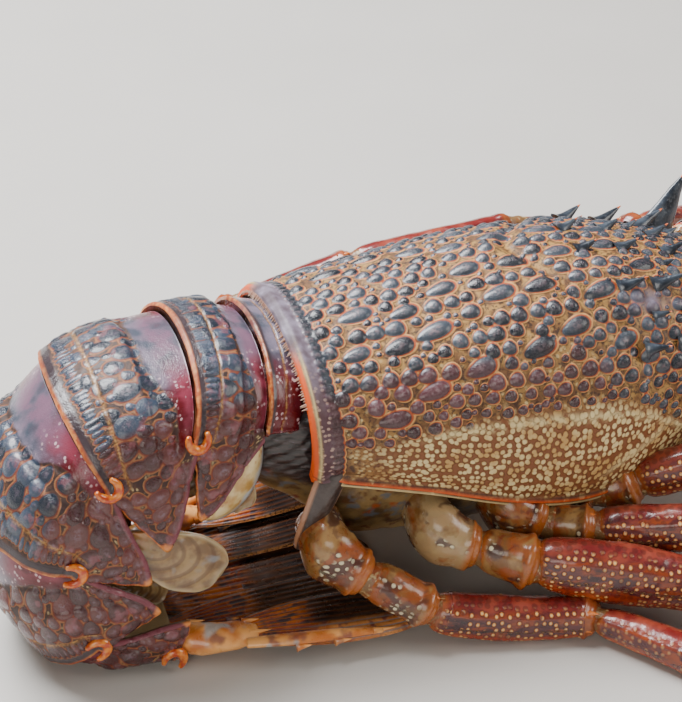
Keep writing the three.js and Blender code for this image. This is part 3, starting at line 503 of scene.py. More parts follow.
def shell_x(share, angle):
    """Distance from the rim: rows lean forward along the midline towards the rostrum"""
    x = share * SHELL_FRONT
    return x + ROSTRUM_REACH * np.sin(angle) * np.clip((x - 40) / (SHELL_FRONT - 40), 0, 1) ** 2


# Large long scales of the right half, as (distance from the rim, share of half a turn)
BIG_BOSSES = [(61.5, .391), (51, .391), (41, .266), (56, .281), (89.5, .411), (19, .183), (66, .308), (75.5, .363),
              (38.5, .429), (28, .40), (17, .42), (24, .33), (33, .345), (46, .46), (14, .33), (83, .47), (70, .46),
              (29, .235), (78, .27), (58, .455)]

# Lattice of ordinary scales: rows on each side of the midline, scales in a row, turn between rows, and where a
# row starts and how far apart its scales are
LATTICE_ROWS, LATTICE_COUNT, LATTICE_TURN, LATTICE_START, LATTICE_STEP = 18, 30, 0.0262, 8.4, 4.5
FILLING_SIZES, FILLING_TRIES = (1.35, 1.1, 0.8, 0.55), 2200
RIM_KNOBS, LINING_COLUMNS = 46, 24


def raise_scales(skin, x, side, angle, keep):
    """Long bosses first, then the lattice, smaller scales in its gaps, and knobs along the rear rim"""
    keel = shell_keel(x)
    draw = random.Random(12)
    taken = []

    def spot(place, turn):
        col = int(np.clip(turn, 0, 0.9999) * skin.cols)
        return int(np.argmin(abs(x[:, col] - place))), col

    def lean(row, col):
        """Way that a scale points: forward, and towards the midline above, away from it below"""
        up = skin.across[row, col] * (1 if angle[0, col] < PI / 2 else -1)
        tilt = (0.5 - side[row, col]) * 1.5 * ease(side[row, col], 0.1, 0.3)
        return unit(skin.along[row, col]) + unit(up) * tilt

    def raise_scale(place, turn, size, long, tone, gap):
        row, col = spot(place, turn)
        here = skin.points[row, col]
        if any((((here - other) * weight) ** 2).sum() < ((size + reach) * gap) ** 2
               for other, reach, weight in taken):
            return
        taken.append((here, size, np.array([1 / max(long, 1) ** 0.8, 1, 1])))
        skin.stamp(row, col, size, long, ahead=lean(row, col), high=0.4 + 0.42 * size, tone=tone)

    for place, turn in BIG_BOSSES:
        for mirrored in (turn, 1 - turn - 0.004):
            moved = place + draw.uniform(-0.8, 0.8) * (mirrored > 0.5)
            raise_scale(moved, mirrored, draw.uniform(1.6, 2.0), draw.uniform(1.75, 2.3), draw.random(), 1.17)
    for order in range(-LATTICE_ROWS, LATTICE_ROWS + 1):
        turn = 0.5 + order * LATTICE_TURN
        side_turn = min(turn, 1 - turn)
        for step in range(LATTICE_COUNT):
            place = LATTICE_START + (step + (order % 2) * 0.5) * LATTICE_STEP + draw.uniform(-0.6, 0.6)
            row, col = spot(place, turn + draw.uniform(-0.004, 0.004))
            if x[row, col] + 2 < place or draw.random() > keep[row, col]:
                continue
            size = 1.66 + 0.16 * draw.uniform(-1, 1) - 0.3 * ease(place, 62, 92) * ease(side_turn, 0.3, 0.44)
            size *= 0.55 + 0.45 * ease(side_turn, keel[row, 0] + 0.01, keel[row, 0] + 0.1)
            raise_scale(place, turn, size, draw.uniform(1.0, 1.3), draw.random(), 1.08)
    for size in FILLING_SIZES:
        for _ in range(FILLING_TRIES):
            place, turn = draw.uniform(8, 115), draw.uniform(0.03, 0.97)
            row, col = spot(place, turn)
            if draw.random() < keep[row, col] and x[row, col] + 2 > place:
                raise_scale(place, turn, size, 1.15, draw.random(), 1.12)
    for order in range(RIM_KNOBS):
        col = int((0.03 + 0.94 * (order + 0.5) / RIM_KNOBS) * (skin.cols - 1))
        skin.stamp(int(np.argmin(abs(x[:, col] - RIM - 1.0))), col, 1.25, 1.2, high=0.55, tone=0.4)


def lined(skin, x, share, angle):
    """The shell closed by a smooth lining, which meets it all round its edge"""
    def inside(x, angle):
        return shell_place(x, angle, -SHELL_THICK) + UP * np.cos(angle + 0 * x)[..., None] ** 4

    back = np.linspace(PI, 0, LINING_COLUMNS)[None, :]
    lining = inside(shell_x(share, back), back)
    shut, ring = (np.concatenate([face, lining], 1) for face in (inside(x, angle), skin.settled()))
    whole = Skin(np.concatenate([shut[:1], ring, shut[-1:]]), wrap=True)
    bare = np.zeros(lining.shape[:2])
    for name, values in {**skin.marks, "lining": 0 * x}.items():
        whole.marks[name] = edged(np.concatenate([values, bare + (name == "lining")], 1))
    whole.reach = edged(np.concatenate([skin.reach, bare + 2], 1))
    return whole


def carapace():
    share = np.linspace(0, 1, int(110 / DETAIL))[:, None]
    angle = np.linspace(0, PI, int(150 / DETAIL))[None, :]
    x = shell_x(share, angle)
    skin = Skin(shell_place(x, angle), outward=np.array([50, 0, 40]))
    across = np.linalg.norm(skin.across, axis=-1)
    edge = np.minimum(np.cumsum(across, 1), np.cumsum(across[:, ::-1], 1)[:, ::-1])
    ahead = (SHELL_FRONT + ROSTRUM_REACH * np.sin(angle)) - x
    height = np.sin(angle) + 0 * x
    side = np.minimum(angle, PI - angle) / PI + 0 * x
    groove = bell(x, 59 + 34 * np.abs(np.cos(angle)) ** 1.3, 2.2) * ease(height, 0.4, 0.75)
    collar = bell(x, 1.9, 1.5) - bell(x, 6.3, 1.2) * 0.5
    ledge = bell(edge, 0.7, 0.55) * 0.55 + bell(edge, 2.2, 0.6) * 0.75 - bell(edge, 4.2, 0.9) * 0.35
    keel = bell(side, shell_keel(x), 0.008) * ease(x, 22, 34)
    branch = bell(side, 0.055 + (x - 72) * 0.003, 0.007) * ease(x, 68, 74) * ease(x, 92, 84)
    muscle = bell(x, 88, 5) * bell(side, 0.333, 0.022)
    skin.lift += collar * ease(edge, 0.5, 3) + ledge * ease(x, 0, 3) - groove * 1.3 + keel * 0.5 + branch * 0.3
    skin.lift += waves(skin.points, 26, 3) * 0.5 * ease(edge, 4, 12) * ease(x, 8, 16)
    skin.lift += bell(side, 0.5, 0.02) * 0.4 * ease(x, 10, 25)
    granular = ease(side + waves(skin.points, 9, 5) * 0.012, shell_keel(x) + 0.035, shell_keel(x) + 0.005)
    granular = np.maximum(granular, ease(x, 92, 104) * ease(side, 0.27, 0.2))
    flank = ease(side + waves(skin.points, 12, 6) * 0.03, 0.34, 0.2) * ease(x, 86, 60) + ease(side, 0.1, 0.04)
    plain = np.maximum.reduce([ease(x, RIM + 2.2, RIM), ease(edge, 3.4, 2.8), muscle * 1.5, ease(ahead, 2.2, 1.2),
                               groove * ease(side, 0.36, 0.44)])
    raise_scales(skin, x, side, angle, np.clip(1 - plain - granular * 1.2, 0, 1))
    low_left = bell(x, 7, 9) * ease(side, 0.17, 0.08) * ease(edge, 2.4, 3.4)
    band = ease(x, RIM + 0.6, RIM - 0.4)
    hot = ease(height, 0.96, 0.84)
    skin.mark("flank", flank)
    skin.mark("cream", granular * (1 - low_left) * ease(edge, 2.8, 3.6) * (1 - band))
    skin.mark("pale", np.maximum.reduce([keel * ease(waves(skin.points, 2.2, 8), -0.5, 0.2) * 0.85, branch * 0.6,
                                         ease(edge, 1.25, 1.0) * (1 - band) * 0.8, bell(x, 1.5, 0.35) * hot * 0.7]))
    skin.mark("seam", bell(edge, 3.0, 0.2) * 0.8 + bell(edge, 1.35, 0.14) * 0.7)
    skin.mark("orange", np.maximum(bell(edge, 2.1, 0.55) * ease(x, 1, 3), ease(x, 1.1, 0.7) * hot))
    skin.mark("smooth", np.maximum(band * (1 - ease(x, 2.1, 1.7) * hot), muscle))
    skin.chart()
    return Piece("carapace_shell").add(lined(skin, x, share, angle))


def carapace_finish():
    # The last colour of low is the painted highlight on the scale crowns
    f = shell_finish("carapace_shell_finish", ("1c2028", "3c444e"), ("36181a", "563036", "8a7074"),
                     ("a8481c", "cc9458", "d9520f"), ("6e4824", "ac8244", "2a150c", "7c4824"))
    side = f.mark("flank")
    lilac = f.layers(f.mix("54454e", "8a7f90", f.noise(5, 3).ease(0.35, 0.7)), ("4c2428", side * 0.8),
                     ("c8a898", side * f.beads(1.9).ease(0.28, 0.18) * 0.6))
    return f.set(Base_Color=f.layers(f.now("Base Color"), (lilac, f.mark("smooth")), ("3a1a0e", f.mark("seam")),
                                     ("4a3020", f.mark("lining"))))


# Abdomen: six plates curled under the body, with side flaps, each over the front of the next

hinge_x, hinge_z = steps([4, -9.6, -27, -48, -57.4, -53, -35.3]), steps([54, 57.3, 60.6, 53.7, 33.1, 11.1, 3.8])
crest_x, crest_z = steps([7, -5.5, -23.2, -54.5, -74, -65, -36]), steps([67.5, 71.4, 74.6, 67.6, 36.5, 0.5, -0.6])
abdomen_wide, abdomen_drift = steps([22, 24, 24.5, 25, 25, 24.5, 24]), steps([0, -1, -3, -4.5, -6, -7.5, -9])
FLAP_TIPS = [(-26.8, 39.3, 27), (-35.6, 34.8, 27.5), (-40.3, 27.4, 27.5), (-38.6, 19.1, 26.5), (-31.8, 14, 25.5)]
FLAP_AT, FLAP_THICK = 0.6, 2.0
flap_reach = profile([[0, 0.12], [0.2, 0.42], [0.42, 0.84], [0.56, 0.98], [0.61, 1.0], [0.68, 0.86], [0.8, 0.55],
                      [0.9, 0.3], [1, 0.12]])
plate_rise = profile([[0, -1.7], [0.3, -1.2], [0.385, -0.6], [0.42, 0.15], [0.6, 0.3], [0.85, 0.1], [0.95, 0.3],
                      [0.982, -0.1], [1, -1.3]])


def back_way(station):
    """From the hinge line of the abdomen to the crest of its back"""
    return column(crest_x(station) - hinge_x(station), 0.0, crest_z(station) - hinge_z(station))


def hinge_place(station, aside=0.0):
    """Point at the height of the hinges, aside from the middle plane of the abdomen"""
    return column(hinge_x(station), abdomen_drift(station) + aside, hinge_z(station))


def back_place(station, angle, rise):
    """Point on the back of the abdomen: station counts the joints, the angle turns from right hinge to left"""
    along = back_way(station)
    height = np.linalg.norm(along, axis=-1, keepdims=True)
    lift = along / height * (height + rise[..., None]) * np.sin(angle)[..., None]
    return hinge_place(station, -(abdomen_wide(station) + rise) * np.cos(angle)) + lift


def flap_place(segment, t, share, side, inset):
    """Point on a side flap: share runs from the hinge line to the edge"""
    station = segment + t
    reach = flap_reach(t)
    if segment:
        tip = FLAP_TIPS[segment - 1]
        way = np.array([tip[0] - hinge_x(segment + FLAP_AT), 0, tip[1] - hinge_z(segment + FLAP_AT)])
        flare = (tip[2] - abdomen_wide(station)) * reach
        hang = reach[..., None] * way
    else:
        hang, flare = unit(back_way(station)) * -1.5, 0
    return hinge_place(station, side * (abdomen_wide(station) + flare * share - inset)) + hang * share[..., None]


def tergite(segment):
    rows = 40 if segment == 0 else int(30 / DETAIL)
    over, flap, low = int(76 / DETAIL), int((26 if segment else 3) / DETAIL), 30
    t = np.linspace(0.01, 0.99, rows)[:, None]
    angle = np.linspace(0, PI, over)[None, :]
    share = np.linspace(0, 1, flap + 1)[None, 1:]
    back = back_place(segment + t, angle, plate_rise(t) + 0 * angle)
    bulge = -0.9 * np.sin(PI * share) + 0.2 * share
    full = np.ones_like(share) * np.ones_like(t)
    lower_edge, inner_edge = ([flap_place(segment, t * full, share * full, side, inset) for side in (-1, 1)]
                              for inset in (bulge - plate_rise(t) * (1 - share),
                                            bulge + FLAP_THICK * (1 - 0.45 * share) + 0.2 * full))
    belly_share = np.linspace(1, -1, low)[None, :]
    ribs = 0.7 * np.cos(2 * PI * t) * (1 - belly_share**4)
    belly = hinge_place(segment + t, belly_share * (abdomen_wide(segment + t) - FLAP_THICK - 0.4))
    belly = belly - unit(back_way(segment + t)) * (1.5 + 3.5 * (1 - belly_share**2) ** 0.5 + ribs)[..., None]
    ring = np.concatenate([lower_edge[0][:, ::-1], back, lower_edge[1], inner_edge[1][:, ::-1], belly,
                           inner_edge[0]], 1)
    for _ in range(6):
        soft = (np.roll(ring, 1, 1) + ring * 2 + np.roll(ring, -1, 1)) / 4
        for hinge in (flap, flap + over):
            ring[:, hinge - 6:hinge + 6] = soft[:, hinge - 6:hinge + 6]
    skin = Skin(ring, wrap=True, outward=hinge_place(segment + 0.5))
    outer, around, down = np.zeros((3, 1, ring.shape[1]))
    outer[:, :2 * flap + over] = 1
    around[:, flap:flap + over] = np.sin(angle)
    down[:, :flap], down[:, flap + over:2 * flap + over] = share[:, ::-1], share
    outer, around, down = (values + 0 * t for values in (outer, around, down))
    to_edge = (1 - down) * flap_reach(t) * 26
    limit = 0.18 + 0.17 * ease(around, 0.5, 0.98) + 0.02 * waves(skin.points, 5, segment + 60)
    front = ease(t, limit, limit - 0.02) * ease(down, 0.25, 0.1)
    fore_edge = ease(to_edge, 2.6, 1.2) * ease(down, 0.12, 0.3) * ease(t, 0.62, 0.5)
    aft_edge = ease(to_edge, 1.3, 0.6) * ease(down, 0.12, 0.3) * ease(t, 0.55, 0.62)
    setae = bell(t, 0.735 - 0.05 * around, 0.013) * ease(down, 0.35, 0.1)
    waist = bell(t, limit + 0.02, 0.012)
    margin = ease(t, 0.958, 0.966) * ease(t, 0.996, 0.986)
    skin.lift += outer * (fore_edge * 0.5 + margin * 0.35 - setae * 0.4 - waist * 0.3
                          + waves(skin.points, 14, segment + 30) * 0.35 * ease(t, limit, limit + 0.1))
    bare = np.maximum.reduce([front, fore_edge, aft_edge, setae * 1.5, ease(t, 0.74, 0.755) * (1 - down),
                              ease(t, 0.9, 0.93) + 0 * down, ease(t, limit + 0.03, limit)])
    if segment:
        skin.scatter(50 + segment, (2.1, 1.45, 0.85), (0.8, 1.15), tries=2600,
                     keep=np.clip(outer * (1 - bare), 0, 1), gap=1.08, stretch=1.35, shrink=1 - 0.35 * down, few=0.5,
                     high=0.42)
        draw = random.Random(90 + segment)
        row, col = int(np.interp(0.82, t[:, 0], np.arange(rows))), flap + 4
        while col < flap + over - 4:
            size = draw.uniform(0.5, 0.72)
            skin.stamp(row, col, size, 3.0 * draw.uniform(0.8, 1.1), high=0.42, tone=draw.random(), fringe=0.6)
            col += int((size * 2 + 0.35) / max(np.linalg.norm(skin.across[row, col]), 0.05))
    skin.mark("around", around)
    skin.mark("flank", np.maximum(ease(around, 0.75, 0.2) * 0.9, 0.75 * (segment > 3)) * outer)
    skin.mark("facet", np.maximum(front, segment == 0) * outer)
    skin.mark("band", ease(t, 0.885, 0.9) * (1 - margin) * outer * ease(down, 0.5, 0.2))
    skin.mark("orange", np.maximum(margin * ease(around, 1.1, 0.9) * ease(down, 0.5, 0.3) * 0.9,
                                   aft_edge * 0.8) * outer)
    skin.mark("mauve", fore_edge * outer)
    skin.mark("tip", ease(to_edge + abs(t - 0.6) * 40, 3.2, 1.5) * ease(down, 0.5, 0.8) * 0.8)
    skin.mark("soft", 1 - outer)
    skin.mark("shaded", ease(t, 0.988, 0.998) * outer)
    skin.mark("comb", setae * outer)
    skin.mark("fore", ease(t, limit - 0.02, limit - 0.16) * outer)
    skin.chart()
    return Piece(f"abdomen_plate_{segment + 1}").add(skin, caps=True)


def tergite_finish():
    # The last colour of low is the painted highlight on the scale crowns
    f = shell_finish("abdomen_plate_finish", ("1c2430", "3a4658"), ("3c1414", "602a26", "806a78"),
                     ("702c14", "946038", "c85a14"), ("2e1814", "543420", "22100d", "5c3416"), wet=0.16)
    around, cloud = f.mark("around"), f.noise(6, 3)
    fore = f.mark("fore")
    crown = f.layers(f.mix("434a56", "786c7c", cloud.ease(0.35, 0.65)),
                     ("743450", fore * cloud.ease(0.4, 0.6) * 0.45))
    cheek = f.mix("5c1018", "883848", (fore * 0.5 + f.noise(3.5, 3) * 0.7).ease(0.3, 0.75))
    cheek = f.mix(cheek, "4c1018", f.noise(7, 3).ease(0.45, 0.66))
    facet = f.mix(cheek, crown, (around - fore * 0.1 + (cloud - 0.5) * 0.45).ease(0.6, 0.9))
    freckles = f.beads(1.5, 0.9).ease(0.3, 0.18) * f.noise(3, 2).ease(0.5, 0.6) * around.ease(0.95, 0.8)
    facet = f.mix(facet, "e0c0c4", freckles * 0.75)
    band = f.mix("2c2226", "4c4044", cloud)
    mauve = f.mix("5c2430", "8a4a54", f.noise(2, 2))
    soft = f.mix("8a7650", "5c4632", f.noise(4, 3))
    pinks = f.noise(4.5, 3).ease(0.6, 0.68) * f.mark("scale").ease(0.3, 0.45) * 0.7
    color = f.layers(f.now("Base Color"), ("8c5058", pinks * 0.7), (facet, f.mark("facet")),
                     (band, f.mark("band")), (mauve, f.mark("mauve")),
                     (f.mix("a8481a", "d98c48", f.noise(1.6, 3).ease(0.38, 0.64)), f.mark("orange") * 0.95),
                     (f.mix("7c4c20", "c09050", f.noise(0.6, 2).ease(0.4, 0.6)), f.mark("comb") * 0.85),
                     (soft, f.mark("soft")), ("6c2810", f.mark("shaded")), ("d98a40", f.mark("tip")))
    smooth = f.mark("facet").high(f.mark("band"))
    return f.set(Base_Color=color, Roughness=f.now("Roughness") * (1 - smooth) + smooth * 0.2)


# Soft parts: the thorax under the carapace, membranes, setae and joint hooks

def sheet(points, thick, outward, **marks):
    """Closed thin plate from an open grid of points, thickened towards the inside"""
    face = Skin(points, outward=outward)
    inner = face.points - face.normal * thick
    shut, ring = (np.concatenate([first, inner[:, ::-1]], 1) for first in (inner, face.points))
    skin = Skin(np.concatenate([shut[:1], ring, shut[-1:]]), wrap=True, outward=outward)
    for name, values in marks.items():
        skin.mark(name, edged(both_faces(values, face.lift)))
    return skin


def ring_through(corners, count, softness):
    """Even points round a closed outline of corners [row, corner, axis], its corners rounded"""
    closed = np.concatenate([corners, corners[:, :1]], 1)
    pieces = []
    for k in range(corners.shape[1]):
        share = np.linspace(0, 1, count // corners.shape[1], endpoint=False)[None, :, None]
        pieces.append(closed[:, k:k + 1] * (1 - share) + closed[:, k + 1:k + 2] * share)
    ring = np.concatenate(pieces, 1)
    for _ in range(softness):
        ring = (np.roll(ring, 1, 1) + ring * 2 + np.roll(ring, -1, 1)) / 4
    return ring


LEG_ROOTS = (3, 29, 48, 63, 76)
thorax_top = profile([[-11, 56], [-3, 59], [8, 60], [15, 60], [104, 56]])
thorax_floor = profile([[-11, 37], [0, 27], [10, 16.5], [30, 12.5], [55, 11.5], [78, 14], [104, 26]])
thorax_wide = profile([[-11, 21], [0, 25], [15, 28], [50, 31], [78, 28.5], [104, 20]])
thorax_keel = profile([[-11, 14], [10, 17], [40, 19], [74, 13], [104, 7]])


def thorax():
    x = np.linspace(-10.8, 103.5, int(68 / DETAIL))
    wide, keel, low, high = thorax_wide(x), thorax_keel(x), thorax_floor(x), thorax_top(x)
    knee = low + (high - low) * 0.3
    half = [(keel, low), (wide - 2, knee), (wide, high - 4), (wide * 0.7, high)]
    outline = half + [(-w, h) for w, h in half[::-1]]
    outline = outline[-1:] + outline[:-1]
    corners = np.stack([column(x, w, h) for w, h in outline], 1)
    skin = Skin(ring_through(corners, 256, 90), wrap=True, outward=np.array([46, 0, 35]))
    height = skin.points[..., 2]
    y, x = skin.points[..., 1], skin.points[..., 0]
    rise = (height - thorax_floor(x)) / (thorax_top(x) - thorax_floor(x))
    under = ease(rise, 0.16, 0.06)
    sockets = sum(bell(x, root, 5.5) for root in LEG_ROOTS) * bell(rise, 0.25, 0.2)
    plates = sum(bell(x, root + 0.5, 0.9) for root in LEG_ROOTS)
    wall = ease(x, 12, 3) * ease(rise, 0.22, 0.4)
    skin.lift += waves(skin.points, 13, 71) * 0.5 - sockets * 1.3 + under * (0.5 - plates * 1.1)
    skin.lift += wall * 0.14 * np.sin((height * 0.8 - x * 0.5) * 2.6 + waves(skin.points, 16, 72) * 3)
    skin.lift -= under * bell(y, 0, 0.8) * 0.7
    skin.mark("wall", wall)
    skin.mark("under", under)
    skin.mark("high", rise)
    return Piece("thorax_body").add(skin, caps=True)


def thorax_finish():
    f = Finish("thorax_body_finish")
    wall, under, high = f.mark("wall"), f.mark("under"), f.mark("high")
    cloud, blot, streak = f.noise(7, 4), f.noise(3, 3), f.noise(1.2, 3, stretch=(0.35, 0.5, 1.6))
    # Beige flesh, its colours darkened in part as painted shade between the legs
    flesh = f.layers(f.mix("544028", "8c7248", cloud.ease(0.4, 0.6)), ("5c3a20", blot.ease(0.54, 0.66)),
                     ("96441a", f.noise(5, 2).ease(0.6, 0.7)), ("5c646c", f.noise(4.5, 3).ease(0.58, 0.68) * 0.8))
    # Dark striated wall, its lighter lilac streaks a painted highlight
    dark = f.layers(f.mix("1c1414", "382a28", streak.ease(0.4, 0.62)), ("6a6274", streak.ease(0.62, 0.76) * 0.7))
    floor = f.layers(f.mix("9c7444", "c4a26c", cloud.ease(0.4, 0.6)), ("7c2c1c", blot.ease(0.55, 0.65)))
    # The darker brown over the upper part, under the carapace, is painted shade
    f.set(Base_Color=f.layers(flesh, (floor, under), (dark, wall), ("3a2a22", (1 - wall) * high.ease(0.5, 0.8))),
          Roughness=0.34 + (cloud - 0.5) * 0.2, Coat_Weight=0.4, Coat_Roughness=0.1)
    return f.bump(blot + streak * wall, 0.4, 0.6)


def front_membrane():
    """Glossy membrane between the carapace and the first plate of the abdomen"""
    angle = np.linspace(0.04 * PI, 0.96 * PI, 140)[None, :]
    share = np.linspace(0, 1, 30)[:, None]
    inside = shell_place(9.0 + 0 * angle, angle, -3.0)
    plate = back_place(0.2 + 0 * angle, angle, -0.7 + 0 * angle)
    points = inside * (1 - share[..., None]) + plate * share[..., None]
    swell = np.sin(PI * share)[..., None] * column(0.0, -np.cos(angle), np.sin(angle)) * 1.5
    points = points + swell + waves(points, 6, 81)[..., None] * 0.12
    return Piece("front_membrane").add(sheet(points, 0.7, np.array([0, 0, 40]), high=np.sin(angle), run=share))


def membrane_finish():
    f = Finish("front_membrane_finish")
    high, run, cloud = f.mark("high"), f.mark("run"), f.noise(5, 3)
    deep = f.mix("4a0a04", "a8360a", (cloud + run * 0.4 - 0.2).ease(0.35, 0.65))
    pale = f.mix("6c7474", "b0aa96", cloud.ease(0.4, 0.6))
    f.set(Base_Color=f.mix(pale, deep, (high + (cloud - 0.5) * 0.2).ease(0.42, 0.62)), Roughness=0.16,
          Coat_Weight=0.8, Coat_Roughness=0.06)
    return f.bump(f.noise(1.5, 3), 0.3, 0.5)


def flap_cuffs():
    """Cream membrane that frames the front edge of the first large flap, on both sides"""
    piece = Piece("flap_cuffs")
    for _, side in SIDES:
        t = np.linspace(0.03, 0.57, 90)
        edge = flap_place(1, t, np.ones_like(t), side, 1.2 + 0 * t)
        way = unit(np.gradient(edge, axis=0))
        out = np.stack([-way[:, 2], 0 * t, way[:, 0]], 1)
        out *= np.sign(out[:, :1].sum()) or 1
        share = np.linspace(-0.35, 1, 18)[None, :, None]
        wide = (7.4 * np.sin(PI * np.clip((t - 0.01) / 0.62, 0, 1)) ** 0.7 + 0.6)[:, None, None]
        roll = np.sin(np.clip(share, 0, 1) * PI) * 0.9 - np.clip(share, 0, 1) * 2.4
        points = edge[:, None] + out[:, None] * share * wide + np.array([0, side, 0]) * roll
        piece.add(sheet(points, 0.8, np.array([-10, 0, 45]), run=(np.clip(share, 0, 1) + 0 * wide)[..., 0]))
    return piece


def cuff_finish():
    f = Finish("flap_cuff_finish")
    run, cloud = f.mark("run"), f.noise(4, 3)
    f.set(Base_Color=f.layers(f.mix("b88e4c", "dcc490", cloud.ease(0.35, 0.6)),
                              ("b9bcc0", (run + (cloud - 0.5) * 0.5).ease(0.72, 0.95)),
                              ("a85a1e", f.noise(2.5, 3).ease(0.6, 0.72) * 0.7)),
          Roughness=0.3, Coat_Weight=0.5, Coat_Roughness=0.1)
    return f.bump(f.noise(1.5, 3), 0.3, 0.6)


def corner_plates():
    """Dark curved plate with a pale rim behind each hind leg, hung from the corner of the carapace"""
    piece = Piece("corner_plates")
    for _, side in SIDES:
        down, ahead = np.linspace(0, 1, 56)[:, None], np.linspace(-1, 1, 30)[None, :]
        wide = 5.6 * np.clip(1 - down, 0.02, 1) ** 0.6 * (0.75 + 0.5 * down)
        x = 5.6 - 8.5 * down**0.8 + ahead * wide
        y = side * (29.5 - 1.5 * ahead**2 - 3.5 * down**2 + 1.2 * np.sin(PI * down))
        z = 44 - 22.5 * down + 0 * ahead
        rim = np.maximum(ease(0.12 * down - ahead, 0.7, 0.84), ease(ahead + 0 * down, 0.86, 0.96) * 0.7)
        piece.add(sheet(column(x, y, z), 0.9, np.array([0, 0, 34]), rim=rim))
    return piece


def corner_finish():
    f = Finish("corner_plate_finish")
    rim = f.mark("rim")
    f.set(Base_Color=f.layers(f.mix("241a18", "4a3a34", f.noise(3, 3)), ("a8785a", rim)), Roughness=0.3,
          Coat_Weight=0.4)
    return f.bump(f.noise(1.5, 3) + rim, 0.5, 0.7)


def rim_setae():
    """Comb of short pale bristles inside the rear rim of the carapace, pointing back"""
    piece = Piece("rim_setae")
    draw = random.Random(5)
    for row, (count, long, inset) in enumerate(((84, 2.0, 0.5), (72, 1.5, 1.1))):
        for k in range(count):
            angle = PI * (0.22 + 0.56 * (k + draw.uniform(0.2, 0.8)) / count)
            root = shell_place(0.5 + row * 0.8, angle, -inset)
            out = np.array([0, -math.cos(angle), math.sin(angle)])
            thorn(piece, root, np.array([-1, 0, 0]) - out * draw.uniform(0.5, 0.8), long * draw.uniform(0.55, 1.15),
                  0.5, columns=6, flat=0.8, base=0.05, tip=0.6)
    return piece


def setae_finish():
    f = Finish("setae_finish")
    f.set(Base_Color=f.layers(f.mix("8c5a48", "c09a84", f.noise(0.8, 2)), ("e0c8b4", f.mark("tip") * 0.7)),
          Roughness=0.45)
    return f.bump(f.noise(0.3, 2), 0.08, 0.5)


def hinge_hooks():
    """Curved orange knob at each side joint between two plates of the abdomen"""
    piece = Piece("hinge_hooks")
    for _, side in SIDES:
        for segment in range(1, 6):
            t = np.linspace(0, 1, 12)
            turn = PI * (1.1 - 1.25 * t)
            here, after = (back_place(np.array(segment + 0.93 + shift), np.array(0.0 if side < 0 else PI),
                                      np.array(0.6)) for shift in (0, 0.12))
            ahead = unit(after - here)
            up = np.cross(ahead, np.array([0, 1.0, 0]))
            up *= 1 if up @ (here - hinge_place(segment + 1) + up * 9) > 0 else -1
            path = [here + ahead * (2.3 * math.cos(a) + 0.5) + up * (2.9 * math.sin(a) - 0.6) + (0, side * 0.15, 0)
                    for a in turn]
            piece.add(tube([[*p, s, s] for p, s in zip(path, 0.6 + 0.65 * np.sin(PI * t))], 18, step=0.35,
                           upward=(0, 1, 0.02)), caps=True)
    return piece


def hook_finish():
    f = Finish("hinge_hook_finish")
    f.set(Base_Color=f.mix("b43c0a", "e08428", f.noise(1.5, 3).ease(0.35, 0.65)), Roughness=0.2, Coat_Weight=0.5)
    return f.bump(f.noise(0.9, 3), 0.15, 0.5)


# Limbs: a smooth path through stations of [x, y, z, half width, half height]

def smooth_path(stations, step):
    """Stations along a smooth curve, about a step apart, with their distances from the start"""
    stations = np.asarray(stations, float)
    run = np.concatenate([[0], np.cumsum(np.linalg.norm(np.diff(stations[:, :3], axis=0), axis=1))])
    s = np.linspace(0, run[-1], max(int(run[-1] / step), 4) + 1)
    return np.stack([profile(np.stack([run, stations[:, k]], 1))(s) for k in range(stations.shape[1])], 1), s


def tube(stations, columns, step=DETAIL, upward=(0, 0, 1), shape=None, squareness=0.0):
    """Limb skin with blunt ends; shape(distance, length) gives a factor on its radius"""
    path, s = smooth_path(stations, step)
    along = unit(np.gradient(path[:, :3], axis=0))

    def blunt_end(at, sign):
        turn = PI / 12 * (np.arange(6) + 0.7)
        end = np.repeat(path[at][None], 6, 0)
        end[:, :3] += sign * along[at] * (np.sin(turn) * path[at, 3] * 0.45)[:, None]
        end[:, 3:5] *= np.cos(turn)[:, None]
        return end[::sign]

    path = np.concatenate([blunt_end(0, -1), path, blunt_end(-1, 1)])
    s = np.concatenate([np.zeros(6), s, np.full(6, s[-1])])
    across, up = crossing(unit(np.gradient(path[:, :3], axis=0) + 1e-9), np.array(upward, float))
    factor = 1.0 if shape is None else shape(s, s[-1])
    skin = ring_skin(path[:, :3], across, up, path[:, 3] * factor, path[:, 4] * factor, columns, squareness)
    skin.mark("around", (np.sin(skin.turn) + 1) / 2)
    skin.distance, skin.length, skin.path = s, s[-1], path
    return skin


def thorn(piece, root, way, length, radius, columns=12, flat=1.0, tip=0.55, base=0.3, reach=0.6, **marks):
    """Pointed spine, its root sunk in, its point marked for the tip colour"""
    way = unit(np.array(way, float))
    across, up = crossing(way, np.array((1, 0, 0) if abs(way[2]) > 0.9 else (0, 0, 1), float))
    s = np.linspace(0, 1, max(int(length / DETAIL), 8))
    radii = radius * np.clip((1 - s) ** 0.8 * (1 + base * np.exp(-s * 7)), 0.03, 2)
    centre = root + way * (s * (length + radius) - radius)[:, None] - up * 0.06 * length * (s**2)[:, None]
    skin = ring_skin(centre, across, up, radii * flat, radii, columns)
    skin.mark("tip", ease(s, tip, tip + 0.3)[:, None])
    for name, value in marks.items():
        skin.mark(name, value)
    skin.reach[:] = reach
    piece.add(skin, caps=True)


# Walking legs: x, distance from the middle plane, z, half width and half height

